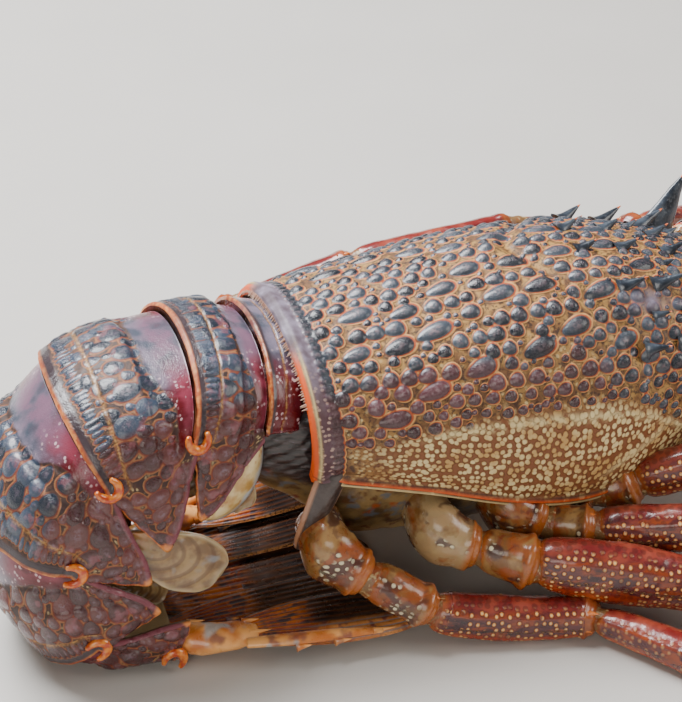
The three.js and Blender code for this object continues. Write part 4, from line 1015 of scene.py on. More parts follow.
LEGS = {
    "right_5": (-1, [
        [3, 23, 26, 5.5, 7.5], [3, 30.5, 23, 6, 8.5], [7, 34, 19.5, 5, 6.2], [10, 36, 17.5, 4, 4.4],
        [14, 38, 15.5, 5, 5.2], [21, 41.5, 11, 4.8, 5], [24, 42.8, 9, 3.8, 4],
        [28, 44, 7.2, 4.8, 5.3], [44, 49, 5.1, 4.9, 5.6], [59, 53.5, 4.9, 4.4, 4.9]], [
        [61, 55, 5, 2.8, 3.2], [66, 60.5, 4.8, 3.6, 3.9], [76, 73, 4.6, 4.3, 4.5],
        [78.5, 76.5, 4.4, 3, 3.2], [82, 81, 4.2, 3.4, 3.8], [104, 110, 3.4, 2.6, 3],
        [106, 113, 3.2, 2, 2.2], [114, 123, 2.4, 1.5, 1.8], [120, 131, 0.5, 0.6, 0.7]]),
    "right_4": (-1, [
        [29, 24, 25, 5.5, 7.5], [30, 32, 22.5, 6, 8], [35, 35.5, 20, 5, 6.2], [38, 37, 19.2, 4, 4.6],
        [42, 39.5, 18.5, 5, 6], [48, 43, 17, 5.2, 6.4], [50, 44, 16.5, 4.4, 5.2],
        [54, 46, 16.6, 5.4, 7.2], [70, 52.5, 14, 5.6, 8.2], [88, 60, 10.4, 4.6, 6.8]], [
        [90, 62.5, 8.6, 2.8, 3.4], [95, 67, 8, 3.8, 4.4], [106, 77, 6.6, 4.4, 4.8],
        [108.5, 79.5, 6.2, 3, 3.2], [112, 83, 5.8, 3.5, 3.9], [136, 106, 3.6, 2.6, 3],
        [138, 108, 3.4, 2, 2.2], [147, 117, 2.4, 1.5, 1.8], [153, 123, 0.5, 0.6, 0.7]]),
    "right_3": (-1, [
        [48, 24, 24, 5.5, 7], [49, 31, 22.5, 5.5, 7.5], [53, 33, 21, 4.8, 6], [56, 34.5, 20, 4, 4.4],
        [60, 36.5, 19.5, 4.6, 5.4], [65, 39.5, 19.4, 4.8, 5.6], [67, 40.6, 19.6, 4, 4.6],
        [71, 42.6, 20, 4.8, 5.8], [88, 51, 22, 4.9, 6.2], [106, 60, 25, 4.2, 5]], [
        [108, 61, 25.4, 2.8, 3.2], [113, 64, 25.4, 3.6, 4.2], [124, 71, 23.6, 4.2, 4.6],
        [127, 73, 22.6, 3, 3.2], [130, 75.5, 21, 3.4, 3.8], [148, 90, 8.5, 2.6, 3],
        [149.5, 91.5, 7.4, 2, 2.2], [155, 96, 3.4, 1.5, 1.7], [158, 98.5, 0.5, 0.7, 0.7]]),
    "right_2": (-1, [
        [63, 22, 24, 5, 6.5], [64, 28, 23.5, 5, 6.5], [68, 30, 23, 4.4, 5.4], [71, 31, 23, 3.8, 4.2],
        [75, 32.5, 23.5, 4.4, 5], [79, 34, 25, 4.6, 5.2], [81, 34.8, 26, 3.8, 4.2],
        [85, 36.5, 28, 4.6, 5.8], [102, 43.5, 36, 4.6, 5.8], [118, 50, 42, 4, 4.8]], [
        [120, 51, 42, 2.6, 3], [125, 53, 41.5, 3.4, 4], [136, 58, 37.5, 4, 4.4],
        [139, 59.5, 35.8, 2.9, 3.1], [142, 61, 33.5, 3.3, 3.7], [160, 70, 12, 2.6, 2.9],
        [161.5, 70.8, 10.4, 2, 2.1], [166, 73, 4.6, 1.5, 1.7], [168.5, 74.2, 0.5, 0.7, 0.7]]),
    "right_1": (-1, [
        [76, 16, 23, 4.8, 6], [79, 22.5, 22.5, 4.8, 6], [83, 25, 22.5, 4.2, 5], [86, 26.2, 22.8, 3.6, 4],
        [90, 28, 23.5, 4.2, 4.8], [94, 29.5, 25, 4.4, 5], [96, 30.2, 26, 3.6, 4],
        [100, 31.8, 28, 4.4, 5.4], [116, 37, 34, 4.6, 5.6], [132, 42, 38, 4.2, 4.8]], [
        [134, 42.8, 38, 2.8, 3], [139, 44, 37, 3.8, 4.2], [150, 46.5, 32, 4.6, 5],
        [152.5, 47.2, 30, 3.4, 3.6], [155.5, 48, 27.6, 4.2, 4.4], [171, 51, 10.6, 3.4, 3.6],
        [172.5, 51.2, 9, 2.6, 2.6], [177, 52, 4, 1.8, 1.9], [179.5, 52.4, 0.5, 0.8, 0.7]]),
    "left_5": (1, [
        [3, 23, 26, 5.5, 7.5], [3, 31, 23, 6, 8], [4, 35.5, 19.5, 5, 6], [5, 38.5, 18, 4, 4.4],
        [5, 42.5, 18, 4.8, 4.8], [3, 46, 19.5, 4.8, 4.8], [2, 47.6, 21.5, 4, 4],
        [1.5, 49, 25, 4.6, 5], [2, 49.8, 34, 4.2, 4.6], [4, 50, 40.5, 3.6, 4]], [
        [6.5, 50, 42.8, 2.2, 2.4], [11, 49.8, 43.4, 2.8, 3], [34, 48.6, 48.8, 3.4, 3.7],
        [38, 48.3, 49.6, 2.6, 2.8], [42, 48, 50.4, 3, 3.4], [79, 46.8, 53.6, 2.4, 2.8],
        [82, 46.7, 53.4, 2, 2.1], [91, 46.4, 51.4, 1.5, 1.8], [100, 46, 48, 0.6, 0.6]]),
}
# The other legs of the left side mirror those of the right, each swung a little by its own amount
for name, swing in (("4", 3), ("3", 5), ("2", -2), ("1", 3)):
    swung = [[[x - swing * max(step, 0) / 4, y + swing * max(step, 0) / 8, *rest]
              for step, (x, y, *rest) in enumerate(rows, start)]
             for rows, start in zip(LEGS[f"right_{name}"][1:], (-3, 6))]
    LEGS[f"left_{name}"] = (1, *swung)


def leg_joint(stations, before, after, flare=1.0, columns=56, upward=(0, 0, 1)):
    """One shell length of a limb, from neck to neck, with a collar at its far end"""
    def between(near, neck, share):
        return [a + (b - a) * share for a, b in zip(near[:3], neck[:3])] + list(near[3:])

    near = [between(stations[0], before, 0.8)] if before else []
    far = [between(stations[-1], after, 0.75)] if after else []

    def shape(s, length):
        root = 1 - 0.3 * np.exp(-s / 1.6) if before else 1.0
        collar = 0.1 * flare * bell(s, length - 1.4, 1.3) - 0.12 * ease(s, length - 0.9, length) if after else 0.0
        return root * (1 + collar)

    return tube([*near, *stations, *far], columns, upward=upward, shape=shape, squareness=0.25)


# Joints of a leg: part, kind, first station, station after its last, necks before and after
LEG_JOINTS = (("upper", "coxa", 0, 3, None, 3), ("upper", "basis", 4, 6, 3, 6), ("upper", "merus", 7, 10, 6, 10),
              ("lower", "carpus", 11, 13, 10, 13), ("lower", "propodus", 14, 16, 13, 16),
              ("lower", "dactyl", 17, 19, 16, None))
CLAW_BRISTLES = 16


def leg(name):
    side, upper, lower = LEGS[name]
    rows = [[x, side * y, *rest] for x, y, *rest in upper + lower]
    pieces = {part: Piece(f"leg_{name}_{part}_shell") for part in ("upper", "lower")}
    draw = random.Random(name)
    for part, kind, first, end, before, after in LEG_JOINTS:
        before, after = (rows[at] if at is not None else None for at in (before, after))
        upward = (1, 0, 0) if (name, part) == ("left_5", "upper") else (0, 0, 1)
        skin = leg_joint(rows[first:end], before, after, 1.4 if kind in ("merus", "basis") else 0.8, upward=upward)
        s, length = skin.distance[:, None], skin.length
        skin.lift += waves(skin.points, 9, draw.randrange(999)) * 0.22
        ends = np.maximum(ease(s, 2.0, 0.8) if before else 0, ease(length - s, 2.4, 1.0) if after else 0)
        ridge = np.maximum(bell(skin.turn, 0.65, 0.13), bell(skin.turn, PI - 0.65, 0.13))
        skin.lift += ridge * 0.35 * ease(s, 0, 4) * (kind in ("merus", "propodus", "carpus"))
        skin.chart()
        skin.mark("ends", ends)
        skin.mark("ridge", ridge * ease(s, 1, 5))
        skin.mark("coxal", kind in ("coxa", "basis"))
        skin.mark("beige", kind == "coxa" and "4" in name)
        skin.mark("claw", (kind == "dactyl") * ease(s / length, 0.35, 0.8))
        skin.mark("grained", (kind in ("merus", "coxa", "basis")) * (1 - ends) + 0.35 * (kind == "carpus"))
        pieces[part].add(skin, caps=True)
        along = unit(skin.path[-8, :3] - skin.path[-14, :3])
        across, up = crossing(along, np.array(upward, float))

        def ring_place(row, turn):
            """Centre of the limb at a row of its path, and the way from there to its skin"""
            station = skin.path[row]
            return station[:3], across * math.cos(turn) * station[3] + up * math.sin(turn) * station[4]

        spines = {"merus": ((0.9, 3.2), (2.2, 3.4), (-0.2, 1.8)), "carpus": ((1.4, 2.2),), "basis": ((1.4, 2.2),)}
        for turn, long in spines.get(kind, ()):
            centre, out = ring_place(-8, turn)
            thorn(pieces[part], centre + out * 0.82 - along * 0.8, along + unit(out) * 0.35, long, 1.15, columns=10,
                  tip=0.2, ends=1.0, around=0.9)
        for order in range(CLAW_BRISTLES if kind == "dactyl" else 0):
            for turn in (-0.6, -2.5):
                centre, out = ring_place(int(len(skin.path) * (0.1 + 0.045 * order)), turn)
                thorn(pieces[part], centre + out * 0.9, along * 0.9 + unit(out) * 0.5, 1.5, 0.22, columns=5,
                      claw=0.6)
    return pieces


def leg_finish():
    f = Finish("leg_shell_finish")
    around, ends, ridge = f.mark("around"), f.mark("ends"), f.mark("ridge")
    coxal, claw, grained = f.mark("coxal"), f.mark("claw"), f.mark("grained")
    cloud, grit, dots = f.noise(6, 3), f.noise(0.8, 3), f.beads(1.9, 0.55)
    streaks = f.noise(2.4, 3, stretch=(0.45, 0.8, 1.6))
    upper = f.mix("741e1c", "96402e", cloud.ease(0.4, 0.62))
    middle = f.layers(f.mix("3c1a22", "5c2a2c", cloud.ease(0.35, 0.6)), ("8c3c16", streaks.ease(0.46, 0.62) * 0.85))
    lower = f.mix("9c3410", "c45c1a", cloud.ease(0.4, 0.7))
    wob = around + (cloud - 0.5) * 0.2
    body = f.layers(middle, (upper, wob.ease(0.84, 0.95)), (lower, wob.ease(0.42, 0.2)), ("b84c18", ridge * 0.3))
    patch = f.noise(8, 2, twist=0.6).ease(0.54, 0.62)
    root = f.layers(f.mix("7c5428", "a4814e", cloud.ease(0.42, 0.64)),
                    ("964414", f.noise(7, 3, twist=1.2).ease(0.42, 0.6) * 0.8),
                    ("6c2416", f.noise(4, 3, twist=1.5).ease(0.56, 0.68) * 0.7),
                    ("5c4030", f.noise(1.6, 3).ease(0.56, 0.66) * 0.5),
                    ("b09a70", f.mark("beige") * cloud.ease(0.3, 0.5) * 0.75), ("3c2420", patch * 0.85))
    grains = dots.ease(0.33, 0.22) * grained * f.noise(6, 2).ease(0.36, 0.46) * wob.ease(0.97, 0.88)
    grains = grains * (1 - coxal * (1 - patch))
    color = f.layers(body, (root, coxal * 0.95), (f.mix("963c10", "b4702e", grit), ends * (0.6 + coxal * 0.3)),
                     ("2a1210", dots.ease(0.44, 0.34) * grained * (1 - coxal) * 0.4),
                     (f.layers("c4702c", ("e4b878", dots.ease(0.24, 0.1)), ("e4d8b4", coxal)), grains * 0.95),
                     ("2c1c16", claw * 0.85), ("d9762c", f.mark("tip")))
    f.set(Base_Color=color, Roughness=0.28 + (cloud - 0.5) * 0.2 + grains * 0.15, Coat_Weight=0.4,
          Coat_Roughness=0.12)
    return f.bump(grit * 0.3 + grains * 1.2 + streaks * 0.3, 0.25, 0.9)


def neck_finish():
    f = Finish("joint_membrane")
    cloud = f.noise(2.5, 3)
    f.set(Base_Color=f.layers("7c5c38", ("84401a", cloud.ease(0.42, 0.62)),
                              ("b49c70", f.noise(1.2, 2).ease(0.55, 0.7))), Roughness=0.35)
    return f.bump(f.noise(0.7, 3), 0.3, 0.7)


def leg_necks():
    """Soft membrane in every joint of the legs"""
    piece = Piece("leg_joint_membranes")
    for side, upper, lower in LEGS.values():
        chain = [[x, side * y, *rest] for x, y, *rest in upper + lower]
        for at in (3, 6, 10, 13, 16):
            here, wide, high = chain[at][:3], *chain[at][3:]
            near, far = ([a + (b - a) * 0.55 for a, b in zip(here, chain[end])] for end in (at - 1, at + 1))
            rows = [[*place, wide * k, high * k] for place, k in ((near, 1.05), (here, 0.98), (far, 1.05))]
            skin = tube(rows, 28, step=0.6)
            skin.lift += 0.14 * np.sin(skin.distance / 0.55)[:, None]
            piece.add(skin, caps=True)
    return piece


# Head: the face with its eyes, horns and forward spines

FACE_X = 121
face_wide, face_low, face_high = (profile(list(zip((-19, -11, -5, 0, 1.8), values)))
                                  for values in ((20, 22, 20, 12, 0.5), (30, 31, 34, 39, 46), (57, 58, 58, 54, 47)))


def face():
    ahead = np.concatenate([np.linspace(-18.5, -2, 44)[:-1], 1.7 - 3.7 * (1 - np.linspace(0, 1, 24) ** 0.5)])
    ahead, turn = ahead[:, None], 2 * PI * np.arange(180)[None, :] / 180
    wide, low, high = face_wide(ahead), face_low(ahead), face_high(ahead)
    y, z = np.cos(turn) * wide, (low + high) / 2 + np.sin(turn) * (high - low) / 2
    skin = Skin(column(FACE_X + ahead, y, z), wrap=True, outward=np.array([FACE_X - 12, 0, 45]))
    z, y = skin.points[..., 2], skin.points[..., 1]
    brow = bell(z, 55, 3) * ease(abs(y), 15, 9)
    fold = bell(abs(y), 8.2, 0.8) * bell(z, 42, 7)
    cheek = ease(abs(y), 8, 12) * bell(z, 44, 5)
    lip = bell(z, 36 + 0.02 * y**2, 0.9) * ease(abs(y), 10, 7)
    skin.lift += brow * 0.5 - lip * 1.1 + waves(skin.points, 7, 91) * 0.25 - fold * 0.6
    skin.scatter(92, (0.95, 0.6), (0.8, 1.1), tries=1500, keep=(1 - np.clip(cheek + lip, 0, 1)) * 0.8, gap=1.25,
                 high=0.5, tone=0.5)
    skin.mark("flank", 1.0)
    skin.mark("cream", ease(z, 44, 36) * 0.8)
    skin.mark("pale", cheek)
    skin.mark("orange", lip)
    return Piece("face_shell").add(skin, caps=True)


def face_finish():
    # The last colour of low is the painted highlight on the scale crowns
    return shell_finish("face_shell_finish", ("1e2632", "445062"), ("2e1a24", "50404c", "7a6c74"),
                        ("a8562a", "cf8a55", "d9520f"), ("5a4030", "8a683c", "2e170d", "8c6430"))


def brow_skin():
    """Dark skin that closes the gap between the front of the shell and the face, between the eyes"""
    angle, share = np.linspace(0.34 * PI, 0.66 * PI, 80)[None, :], np.linspace(0, 1, 24)[:, None]
    above = shell_place(SHELL_FRONT + ROSTRUM_REACH * np.sin(angle) - 2.5, angle, -2.4)
    y, back = above[..., 1] * 0.95, -8.0
    wide, low, high = face_wide(back), face_low(back), face_high(back)
    below = column(FACE_X + back, y, (low + high) / 2 + np.sqrt(1 - (y / wide) ** 2) * (high - low) / 2 - 0.4)
    points = above * (1 - share[..., None]) + below * share[..., None]
    points = points + waves(points, 4, 97)[..., None] * 0.2
    return Piece("brow_skin").add(sheet(points, 0.6, np.array([60, 0, 40]), rim=0.0))


EYE_RADIUS = 3.95


def eyes():
    stalks, balls = Piece("eye_stalks"), {}
    for name, side in SIDES:
        ball = np.array([FACE_X - 2.5, side * 16.5, 59.3])
        root = np.array([FACE_X - 9, side * 9.5, 57.1])
        way = unit(ball - root)
        reach = np.linalg.norm(ball - root)
        across, up = crossing(way, UP)
        s = np.linspace(0, 1, 46)
        radius = profile([[0, 2.6], [0.35, 2.9], [0.6, 3.35], [0.8, 3.95], [0.93, 4.1], [1.0, 4.0]])(s)
        skin = ring_skin(root + way * (s * (reach + 0.2))[:, None], across, up, radius, radius, 64)
        s = s[:, None]
        skin.lift += waves(skin.points, 4, 95) * 0.15 * ease(s, 0.95, 0.7) - bell(s, 0.66, 0.03) * 0.35
        skin.mark("collar", ease(s, 0.5, 0.75))
        skin.mark("rim", ease(s, 0.9, 0.96))
        stalks.add(skin, caps=True)
        globe, squash = np.linspace(0.02, PI - 0.02, 60), np.array([0.92, 1, 1])
        wide = EYE_RADIUS * np.sin(globe)
        centre = ball - EYE_RADIUS * np.cos(globe)[:, None] * way * squash
        eye = ring_skin(centre, across * squash, up * squash, wide, wide, 64)
        balls[name] = Piece(f"eyeball_{name}").add(eye, caps=True)
    return stalks, balls


def eye_finish():
    f = Finish("eyeball_finish")
    facets = f.cells(0.12, 0.3)
    f.set(Base_Color=f.mix("120806", "3a1c10", f.noise(2.5, 3).ease(0.4, 0.7)), Roughness=0.09, Coat_Weight=0.9,
          Coat_Roughness=0.03)
    return f.bump(facets, 0.01, 0.25)


def stalk_finish():
    f = Finish("eye_stalk_finish")
    collar, rim, cloud = f.mark("collar"), f.mark("rim"), f.noise(1.6, 3)
    f.set(Base_Color=f.layers(f.mix("d8c79a", "efe3c4", cloud), ("e0862a", collar * cloud.ease(0.3, 0.6)),
                              ("c8341a", rim)), Roughness=0.25, Coat_Weight=0.5)
    return f.bump(f.noise(0.7, 3), 0.15, 0.5)


def horns():
    """Flat horn over each eye, curved forward, its front edge and point marked"""
    piece = Piece("horns")
    for _, side in SIDES:
        root = shell_place(109.0, PI / 2 + side * 0.5)
        along = unit(np.array([0.5, side * 0.33, 0.8]))
        ahead = np.array([1, 0, -0.5])
        ahead = unit(ahead - along * (ahead @ along))
        across = np.cross(along, ahead)
        s = np.linspace(-4, 15.8, 64)
        long = profile([[-4, 6.4], [0, 5.5], [4, 4.1], [9, 2.5], [13, 1.15], [15.8, 0.12]])(s)
        thick = profile([[-4, 2.8], [0, 2.3], [4, 1.75], [9, 1.25], [13, 0.75], [15.8, 0.1]])(s)
        shift = profile([[-4, -1.5], [2, -0.7], [8, 0.1], [12, 0.8], [15.8, 1.6]])(s)
        centre = root + along * s[:, None] + np.array([1, 0, 0]) * shift[:, None]
        skin = ring_skin(centre, ahead, across, long, thick, 60)
        skin.lift += waves(skin.points, 6, 97) * 0.1
        front = ease(np.cos(skin.turn), 0.8, 0.96) * ease(s, 3, 8)[:, None]
        skin.mark("tip", np.maximum(front, ease(s, 13.2, 15.2)[:, None]))
        piece.add(skin, caps=True)
    return piece


def shell_spines():
    """Forward spines of the carapace, rows behind the horns, along the flanks and at the corners"""
    piece = Piece("shell_spines")
    for _, side in SIDES:
        def row(turn, rows):
            for x, length, radius in rows:
                angle = PI / 2 + side * turn
                here, near, beside = shell_place(x, angle), shell_place(x + 1, angle), shell_place(x, angle + 0.01)
                normal = unit(np.cross(near - here, beside - here))
                thorn(piece, here, unit(normal * 0.72 + np.array([1, 0, 0])), length, radius * 1.05, columns=22,
                      tip=0.72, base=0.75)
        row(0.42, [[103, 8.2, 2], [93, 6.6, 1.8], [83, 5.6, 1.7]])
        row(0.12, [[101, 5, 1.5], [88, 4.5, 1.5], [77, 4, 1.5]])
        row(0.8, [[104, 6, 1.7], [95, 5, 1.6], [85, 4.5, 1.5]])
        row(0.26, [[108, 3.2, 1.1], [97, 3, 1.1]])
        row(0.62, [[98, 3.4, 1.2], [89, 3.2, 1.2], [108, 3.6, 1.2]])
        corner = shell_place(104.0, PI / 2 + side * 1.16)
        thorn(piece, corner, (1, side * 0.3, 0.16), 12, 2.6, columns=26, tip=0.7, base=0.6)
        temple = shell_place(108.0, PI / 2 + side * 0.95)
        thorn(piece, temple, (1, side * 0.4, 0.35), 6, 1.8, columns=22, tip=0.6, base=0.6)
    thorn(piece, shell_place(114.0, PI / 2), (1, 0, 0.35), 7, 2.2, columns=26, tip=0.62, base=0.5)
    return piece


def horn_finish():
    f = Finish("horn_finish")
    cloud, grit, tip = f.noise(5, 3), f.noise(0.8, 3), f.mark("tip")
    slate = f.layers(f.mix("171c25", "3e4752", cloud.ease(0.35, 0.65)), ("76808c", grit.ease(0.58, 0.75) * 0.4))
    f.set(Base_Color=f.mix(slate, f.mix("cf4a10", "e07c2a", cloud), (tip + (grit - 0.5) * 0.3).ease(0.35, 0.7)),
          Roughness=0.34 + (cloud - 0.5) * 0.15, Coat_Weight=0.35, Coat_Roughness=0.15)
    return f.bump(grit, 0.2, 0.6)


def orbit_rims():
    """Orange rolled edge of each orbit, from the horn down to the temple"""
    piece = Piece("orbit_rims")
    for _, side in SIDES:
        angle = np.linspace(0.5, 1.42, 26)
        size = 0.35 + 0.5 * np.sin(PI * np.clip((angle - 0.5) / 0.92, 0, 1)) ** 0.5
        front = shell_x(np.ones_like(angle), PI / 2 - angle) - 0.2
        places = shell_place(front, PI / 2 + side * angle, -0.55)
        piece.add(tube([[*p, s, s] for p, s in zip(places, size)], 20, step=0.4, upward=(1, 0, 0.1)), caps=True)
    return piece


# Tail fan and the swimming leaves

FAN_DRIFT = -9
fan_half = profile([[0, 0.3], [0.12, 0.62], [0.35, 0.9], [0.62, 1], [0.85, 0.88], [0.95, 0.64], [0.985, 0.4],
                    [1, 0.2]])


def fan_plate(root, tip, half, thick, rays, hard, unshaded_side=0):
    """One plate of the fan, its rays spreading from the root; the first part, up to hard, is shell. Its lanes
    towards the side given last are marked to be kept out of the painted shade on the web
    """
    root, tip = np.array(root, float), np.array(tip, float)
    axis = tip - root
    side = unit(np.cross(UP, axis))
    share = (1 - np.cos(np.linspace(0.02, 1, 108) * PI))[:, None] / 2
    lane = np.sin(np.linspace(-0.5, 0.5, 76) * PI)[None, :]
    wide = fan_half(share) * half
    middle = root + axis * share[..., None] + side * (wide * lane)[..., None]
    dome = thick * 0.5 * (1 - 0.4 * lane**2) * ease(abs(lane), 1.0, 0.9) * ease(share, 1.0, 0.97)
    ray = 0.5 + 0.5 * np.cos(lane * rays * PI * 2)
    soft = ease(share, hard - 0.06, hard + 0.06)
    ridge = (0.16 + 0.2 * (1 - soft)) * ray * ease(share, 0.06, 0.2) * ease(abs(lane), 1.0, 0.9)
    top, low = middle + UP * (dome + ridge)[..., None], middle - UP * (dome * 0.9)[..., None]
    skin = Skin(np.concatenate([top, low[:, ::-1]], 1), wrap=True, outward=middle.mean((0, 1)))
    skin.lift += waves(skin.points, 12, int(rays * 7 + half)) * 0.12
    edge = np.maximum(ease(abs(lane), 0.86, 0.97), ease(share, 0.96, 0.99))
    # Lanes towards the given side are marked to be kept out of the painted shade laid on the web
    for name, values in (("ray", ray), ("soft", soft), ("bright", ease(lane * unshaded_side, 0.05, 0.5)), ("edge", edge)):
        skin.mark(name, both_faces(values, middle))
    return skin


def fan():
    """The five plates with their bases and spines, by name"""
    plate = fan_plate([-35.6, FAN_DRIFT, 0.75], [21.8, FAN_DRIFT, 0.75], 11.9, 1.4, 5, 0.42)
    telson = Piece("telson_plate").add(plate, caps=True)
    for x, y in ((-16, 7), (-16, -7), (-8, 9.2), (-8, -9.2), (-22, 3), (-22, -3), (-12, 2.5), (-12, -2.5)):
        thorn(telson, np.array([x, FAN_DRIFT + y, 1.0]), (1, 0.1 * y / 9, 0.12), 3.0, 0.8, columns=10, tip=0.3)
    plates = {"telson": telson}
    for name, side in SIDES:
        y = lambda value: FAN_DRIFT + side * value
        inner, outer = (Piece(f"fan_{part}_plate_{name}") for part in ("inner", "outer"))
        inner.add(fan_plate([-35.2, y(13), 3], [24.8, y(16), 3], 8.9, 1.2, 5, 0.36), caps=True)
        outer.add(fan_plate([-21, y(22), 5.4], [24.8, y(28), 5.2], 8.9, 1.2, 5, 0.4, side), caps=True)
        base = tube([[-35.2, y(19), 5.3, 2.8, 3.0], [-31, y(20.6), 5.5, 3.9, 3.5], [-26, y(22.2), 5.5, 4.3, 3.2],
                     [-20, y(23), 5.4, 4, 2.4], [-16.5, y(24), 5.5, 3, 1.3]], 80)
        base.lift += waves(base.points, 8, 44) * 0.3
        base.mark("lobe", 1.0)
        outer.add(base, caps=True)
        bar = tube([[-19, y(27.5), 6.3, 1.5, 1.0], [-8, y(30.2), 6.6, 1.9, 1.1], [4, y(32.2), 6.3, 1.5, 0.9],
                    [12, y(33.6), 5.9, 0.7, 0.5]], 30)
        bar.mark("lobe", 1.0)
        outer.add(bar, caps=True)
        for x, at, high, length in ((-17, 24.5, 6.3, 4.5), (-17.5, 20, 6.2, 3.5), (10.5, 33.2, 5.9, 5.0),
                                    (1, 33.6, 5.8, 3.4), (-8, 32.4, 5.8, 3.0), (-30, 17.6, 7.6, 3.4)):
            thorn(outer, np.array([x, y(at), high]), (1, side * 0.08, 0.06), length, 0.85, columns=14, tip=0.35,
                  lobe=1.0)
        for x, at in ((-20, 15.5), (-12, 17.5), (-4, 19), (4, 20)):
            thorn(inner, np.array([x, y(at), 3.6]), (1, side * 0.1, 0.1), 2.6, 0.7, columns=10, tip=0.3)
        plates[f"fan_inner_{name}"], plates[f"fan_outer_{name}"] = inner, outer
    return plates


def fan_finish():
    f = Finish("tail_fan_finish")
    ray, soft, lobe = f.mark("ray"), f.mark("soft"), f.mark("lobe")
    cloud, blot, hair = f.noise(8, 3), f.noise(3, 3), f.noise(0.5, 2)
    shell = f.layers(f.mix("843418", "b8601e", cloud.ease(0.38, 0.6)), ("34202a", blot.ease(0.46, 0.62)),
                     ("64707c", (1 - ray).ease(0.7, 1.0) * 0.6), ("d07c30", ray.ease(0.7, 0.98) * 0.6))
    # The web's near black is partly its own dark brown and partly painted shade under the body; on the outer lanes
    # kept out of that shade it takes lighter orange and grey
    web = f.layers(f.mix("180f10", "3c261c", cloud.ease(0.35, 0.62)), ("6a3a1a", ray.ease(0.6, 0.95) * 0.5),
                   ("2c3038", (1 - ray).ease(0.8, 1.0) * 0.4))
    web = f.mix(web, f.layers(f.mix("b8602c", "dc9454", cloud.ease(0.38, 0.6)), ("8c5048", blot.ease(0.5, 0.64)),
                              ("98a0a4", (1 - ray).ease(0.6, 0.95) * 0.7)), f.mark("bright"))
    base = f.layers(f.mix("c06c2c", "eca860", cloud.ease(0.38, 0.6)),
                    ("6c3c40", f.noise(7, 3).ease(0.56, 0.68) * 0.75),
                    ("a0a6a8", f.noise(9, 2).ease(0.6, 0.66) * 0.8))
    f.set(Base_Color=f.layers(f.mix(shell, web, soft), ("a06c3c", f.mark("edge") * hair.ease(0.35, 0.6) * 0.8),
                              (base, lobe), ("f0a860", f.mark("tip"))),
          Roughness=0.28 + (blot - 0.5) * 0.15, Coat_Weight=0.45, Coat_Roughness=0.12)
    return f.bump(blot * 0.6 + hair * 0.3, 0.2, 0.6)


LEAVES = ((1.6, (-14.5, 33.5), 4.6, 5), (2.6, (-24, 41), 4, 9), (3.4, (-22.5, 22.5), 8, 1), (4.5, (-34, 15), 4, 9))
leaf_half = profile([[0, 0.25], [0.2, 0.32], [0.42, 0.72], [0.66, 1], [0.87, 0.84], [0.96, 0.52], [1, 0.06]])


def swim_leaf(station, tip, wide, inset, side):
    """Thin banded blade hung from the belly, its bands set round the root of the blade"""
    root = hinge_place(station, side * (abdomen_wide(station) - inset)) - unit(back_way(station)) * 5
    axis = np.array([tip[0], root[1], tip[1]]) - root
    across = unit(np.array([-axis[2], 0, axis[0]]))
    share = (1 - np.cos(np.linspace(0.03, 1, 90) * PI))[:, None] / 2
    lane = np.sin(np.linspace(-0.5, 0.5, 60) * PI)[None, :]
    middle = root + axis * share[..., None] + across * (leaf_half(share) * wide * lane)[..., None]
    round_root = np.sqrt((np.clip(share - 0.42, 0, 1) * 1.6) ** 2 + (lane * leaf_half(share) * 0.62) ** 2)
    bands = 0.5 + 0.5 * np.cos(round_root * 34)
    rim = np.maximum(ease(abs(lane), 0.8, 0.95), ease(share, 0.93, 0.985)) * ease(share, 0.3, 0.4)
    thick = 0.34 + 0.12 * bands + rim * 0.16
    thick = thick * ease(abs(lane), 1.0, 0.96) * ease(share, 1.0, 0.97) + (1 - share) ** 3 * 0.5
    cup = side * 0.8 * lane**2 * leaf_half(share)
    outer, inner = (middle + column(0.0, way * side * thick + cup, 0.0) for way in (1, -1))
    skin = Skin(np.concatenate([outer, inner[:, ::-1]], 1), wrap=True, outward=middle.mean((0, 1)))
    for name, values in (("bands", bands * ease(share, 0.3, 0.45)), ("rim", rim), ("root", ease(share, 0.42, 0.2))):
        skin.mark(name, both_faces(values, middle))
    return skin


def leaf_finish():
    f = Finish("swim_leaf_finish")
    bands, rim, cloud = f.mark("bands"), f.mark("rim"), f.noise(3.5, 3)
    f.set(Base_Color=f.layers(f.mix("7a5c3c", "a4865c", cloud.ease(0.35, 0.65)),
                              ("5c3c24", bands.ease(0.6, 0.95) * 0.6), ("b8a680", rim * 0.7),
                              ("9aa0a8", f.noise(5, 2).ease(0.56, 0.7) * 0.5),
                              ("b4703c", f.mark("root") * 0.5)),
          Roughness=0.26, Coat_Weight=0.5, Coat_Roughness=0.1, Subsurface_Weight=0.25, Subsurface_Scale=0.002)
    return f.bump(bands * 0.6 + f.noise(1, 2) * 0.3, 0.15, 0.6)


# Feelers: heavy spined bases, annulated whips, forked inner feelers, and the mouth legs

